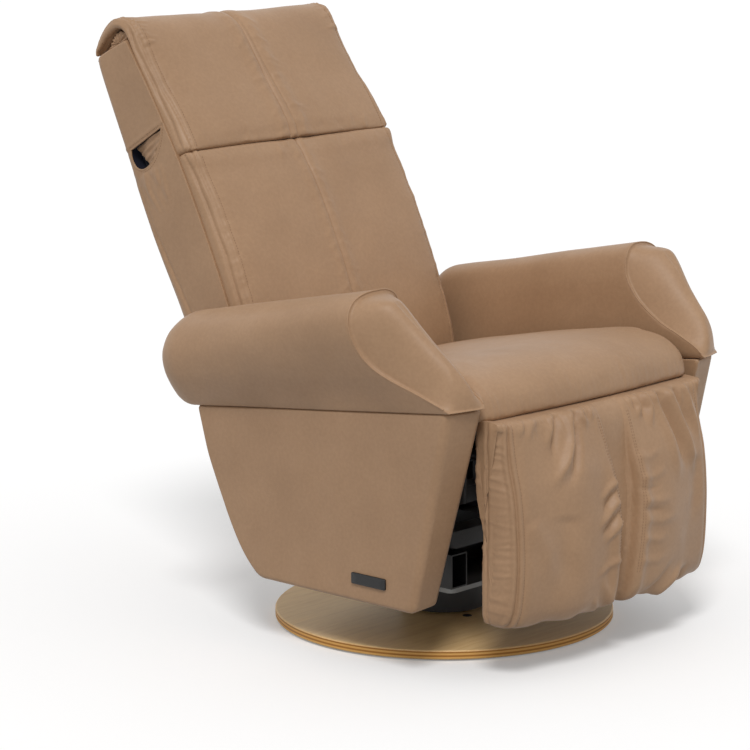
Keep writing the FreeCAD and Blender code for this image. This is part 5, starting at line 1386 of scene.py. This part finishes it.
# Stage, lights and camera
def stage():
    corners = [(x * FLOOR_REACH, y * FLOOR_REACH, 0) for x, y in ((-1, -1), (1, -1), (1, 1), (-1, 1))]
    floor = new_object("floor", corners, [[0, 1, 2, 3]])
    material, tree, bsdf = shader("floor", 0.9, specular=0.0)
    bsdf.inputs["Emission Color"].default_value = (1, 1, 1, 1)
    seen = seen_node(tree)
    shade = mix_node(tree, seen, (FLOOR_BOUNCE,) * 3 + (1,), (FLOOR_SEEN,) * 3 + (1,))
    feed(tree, bsdf.inputs["Base Color"], shade)
    feed(tree, bsdf.inputs["Emission Strength"], math_node(tree, "MULTIPLY", seen, FLOOR_LIFT))
    floor.data.materials.append(material)


def seen_node(tree):
    """1 for rays of the camera, for mirrored ones and for those through glass."""
    rays = tree.nodes.new("ShaderNodeLightPath").outputs
    seen = math_node(tree, "MAXIMUM", rays["Is Camera Ray"], rays["Is Glossy Ray"])
    return math_node(tree, "MAXIMUM", seen, rays["Is Transmission Ray"])


def lights():
    world = bpy.data.worlds.new("studio")
    bpy.context.scene.world = world
    world.use_nodes = True
    tree = world.node_tree
    sky = tree.nodes["Background"].inputs
    sky["Color"].default_value = (1, 1, 1, 1)
    feed(tree, sky["Strength"], range_node(tree, seen_node(tree), WORLD_STRENGTH, 1.0))
    sun = bpy.data.lights.new("key", "SUN")
    sun.energy = SUN_STRENGTH
    sun.angle = math.radians(SUN_SPREAD)
    thing = bpy.data.objects.new("key", sun)
    thing.rotation_euler = (math.radians(SUN_TILT), 0, math.radians(SUN_TURN))
    bpy.context.scene.collection.objects.link(thing)


def camera():
    azimuth, elevation, roll = np.radians((CAMERA_AZIMUTH, CAMERA_ELEVATION, CAMERA_ROLL))
    level = math.cos(elevation)
    back = Vector((math.sin(azimuth) * level, -math.cos(azimuth) * level, math.sin(elevation)))
    right = (-back).cross(Vector((0, 0, 1))).normalized()
    up = right.cross(-back)
    turned_right = right * math.cos(roll) + up * math.sin(roll)
    turned_up = -right * math.sin(roll) + up * math.cos(roll)
    data = bpy.data.cameras.new("camera")
    data.lens = CAMERA_LENS
    data.sensor_width = CAMERA_SENSOR
    data.clip_end = 200
    thing = bpy.data.objects.new("camera", data)
    thing.matrix_world = Matrix((turned_right, turned_up, back)).transposed().to_4x4()
    thing.location = Vector(CAMERA_PLACE) * MM
    bpy.context.scene.collection.objects.link(thing)
    bpy.context.scene.camera = thing


def main():
    bpy.context.scene.view_settings.view_transform = "Standard"
    camera()
    stage()
    lights()
    finish_solids()
    seat_pad()
    lower_back_pad()
    head_rest_pad()
    wrap_lining()
    back_cover()
    leg_rest_pad()
    for side, name in ((1, "left"), (-1, "right")):
        arm_bolster(side, name)
        side_panel(side, name)
    badge()


main()
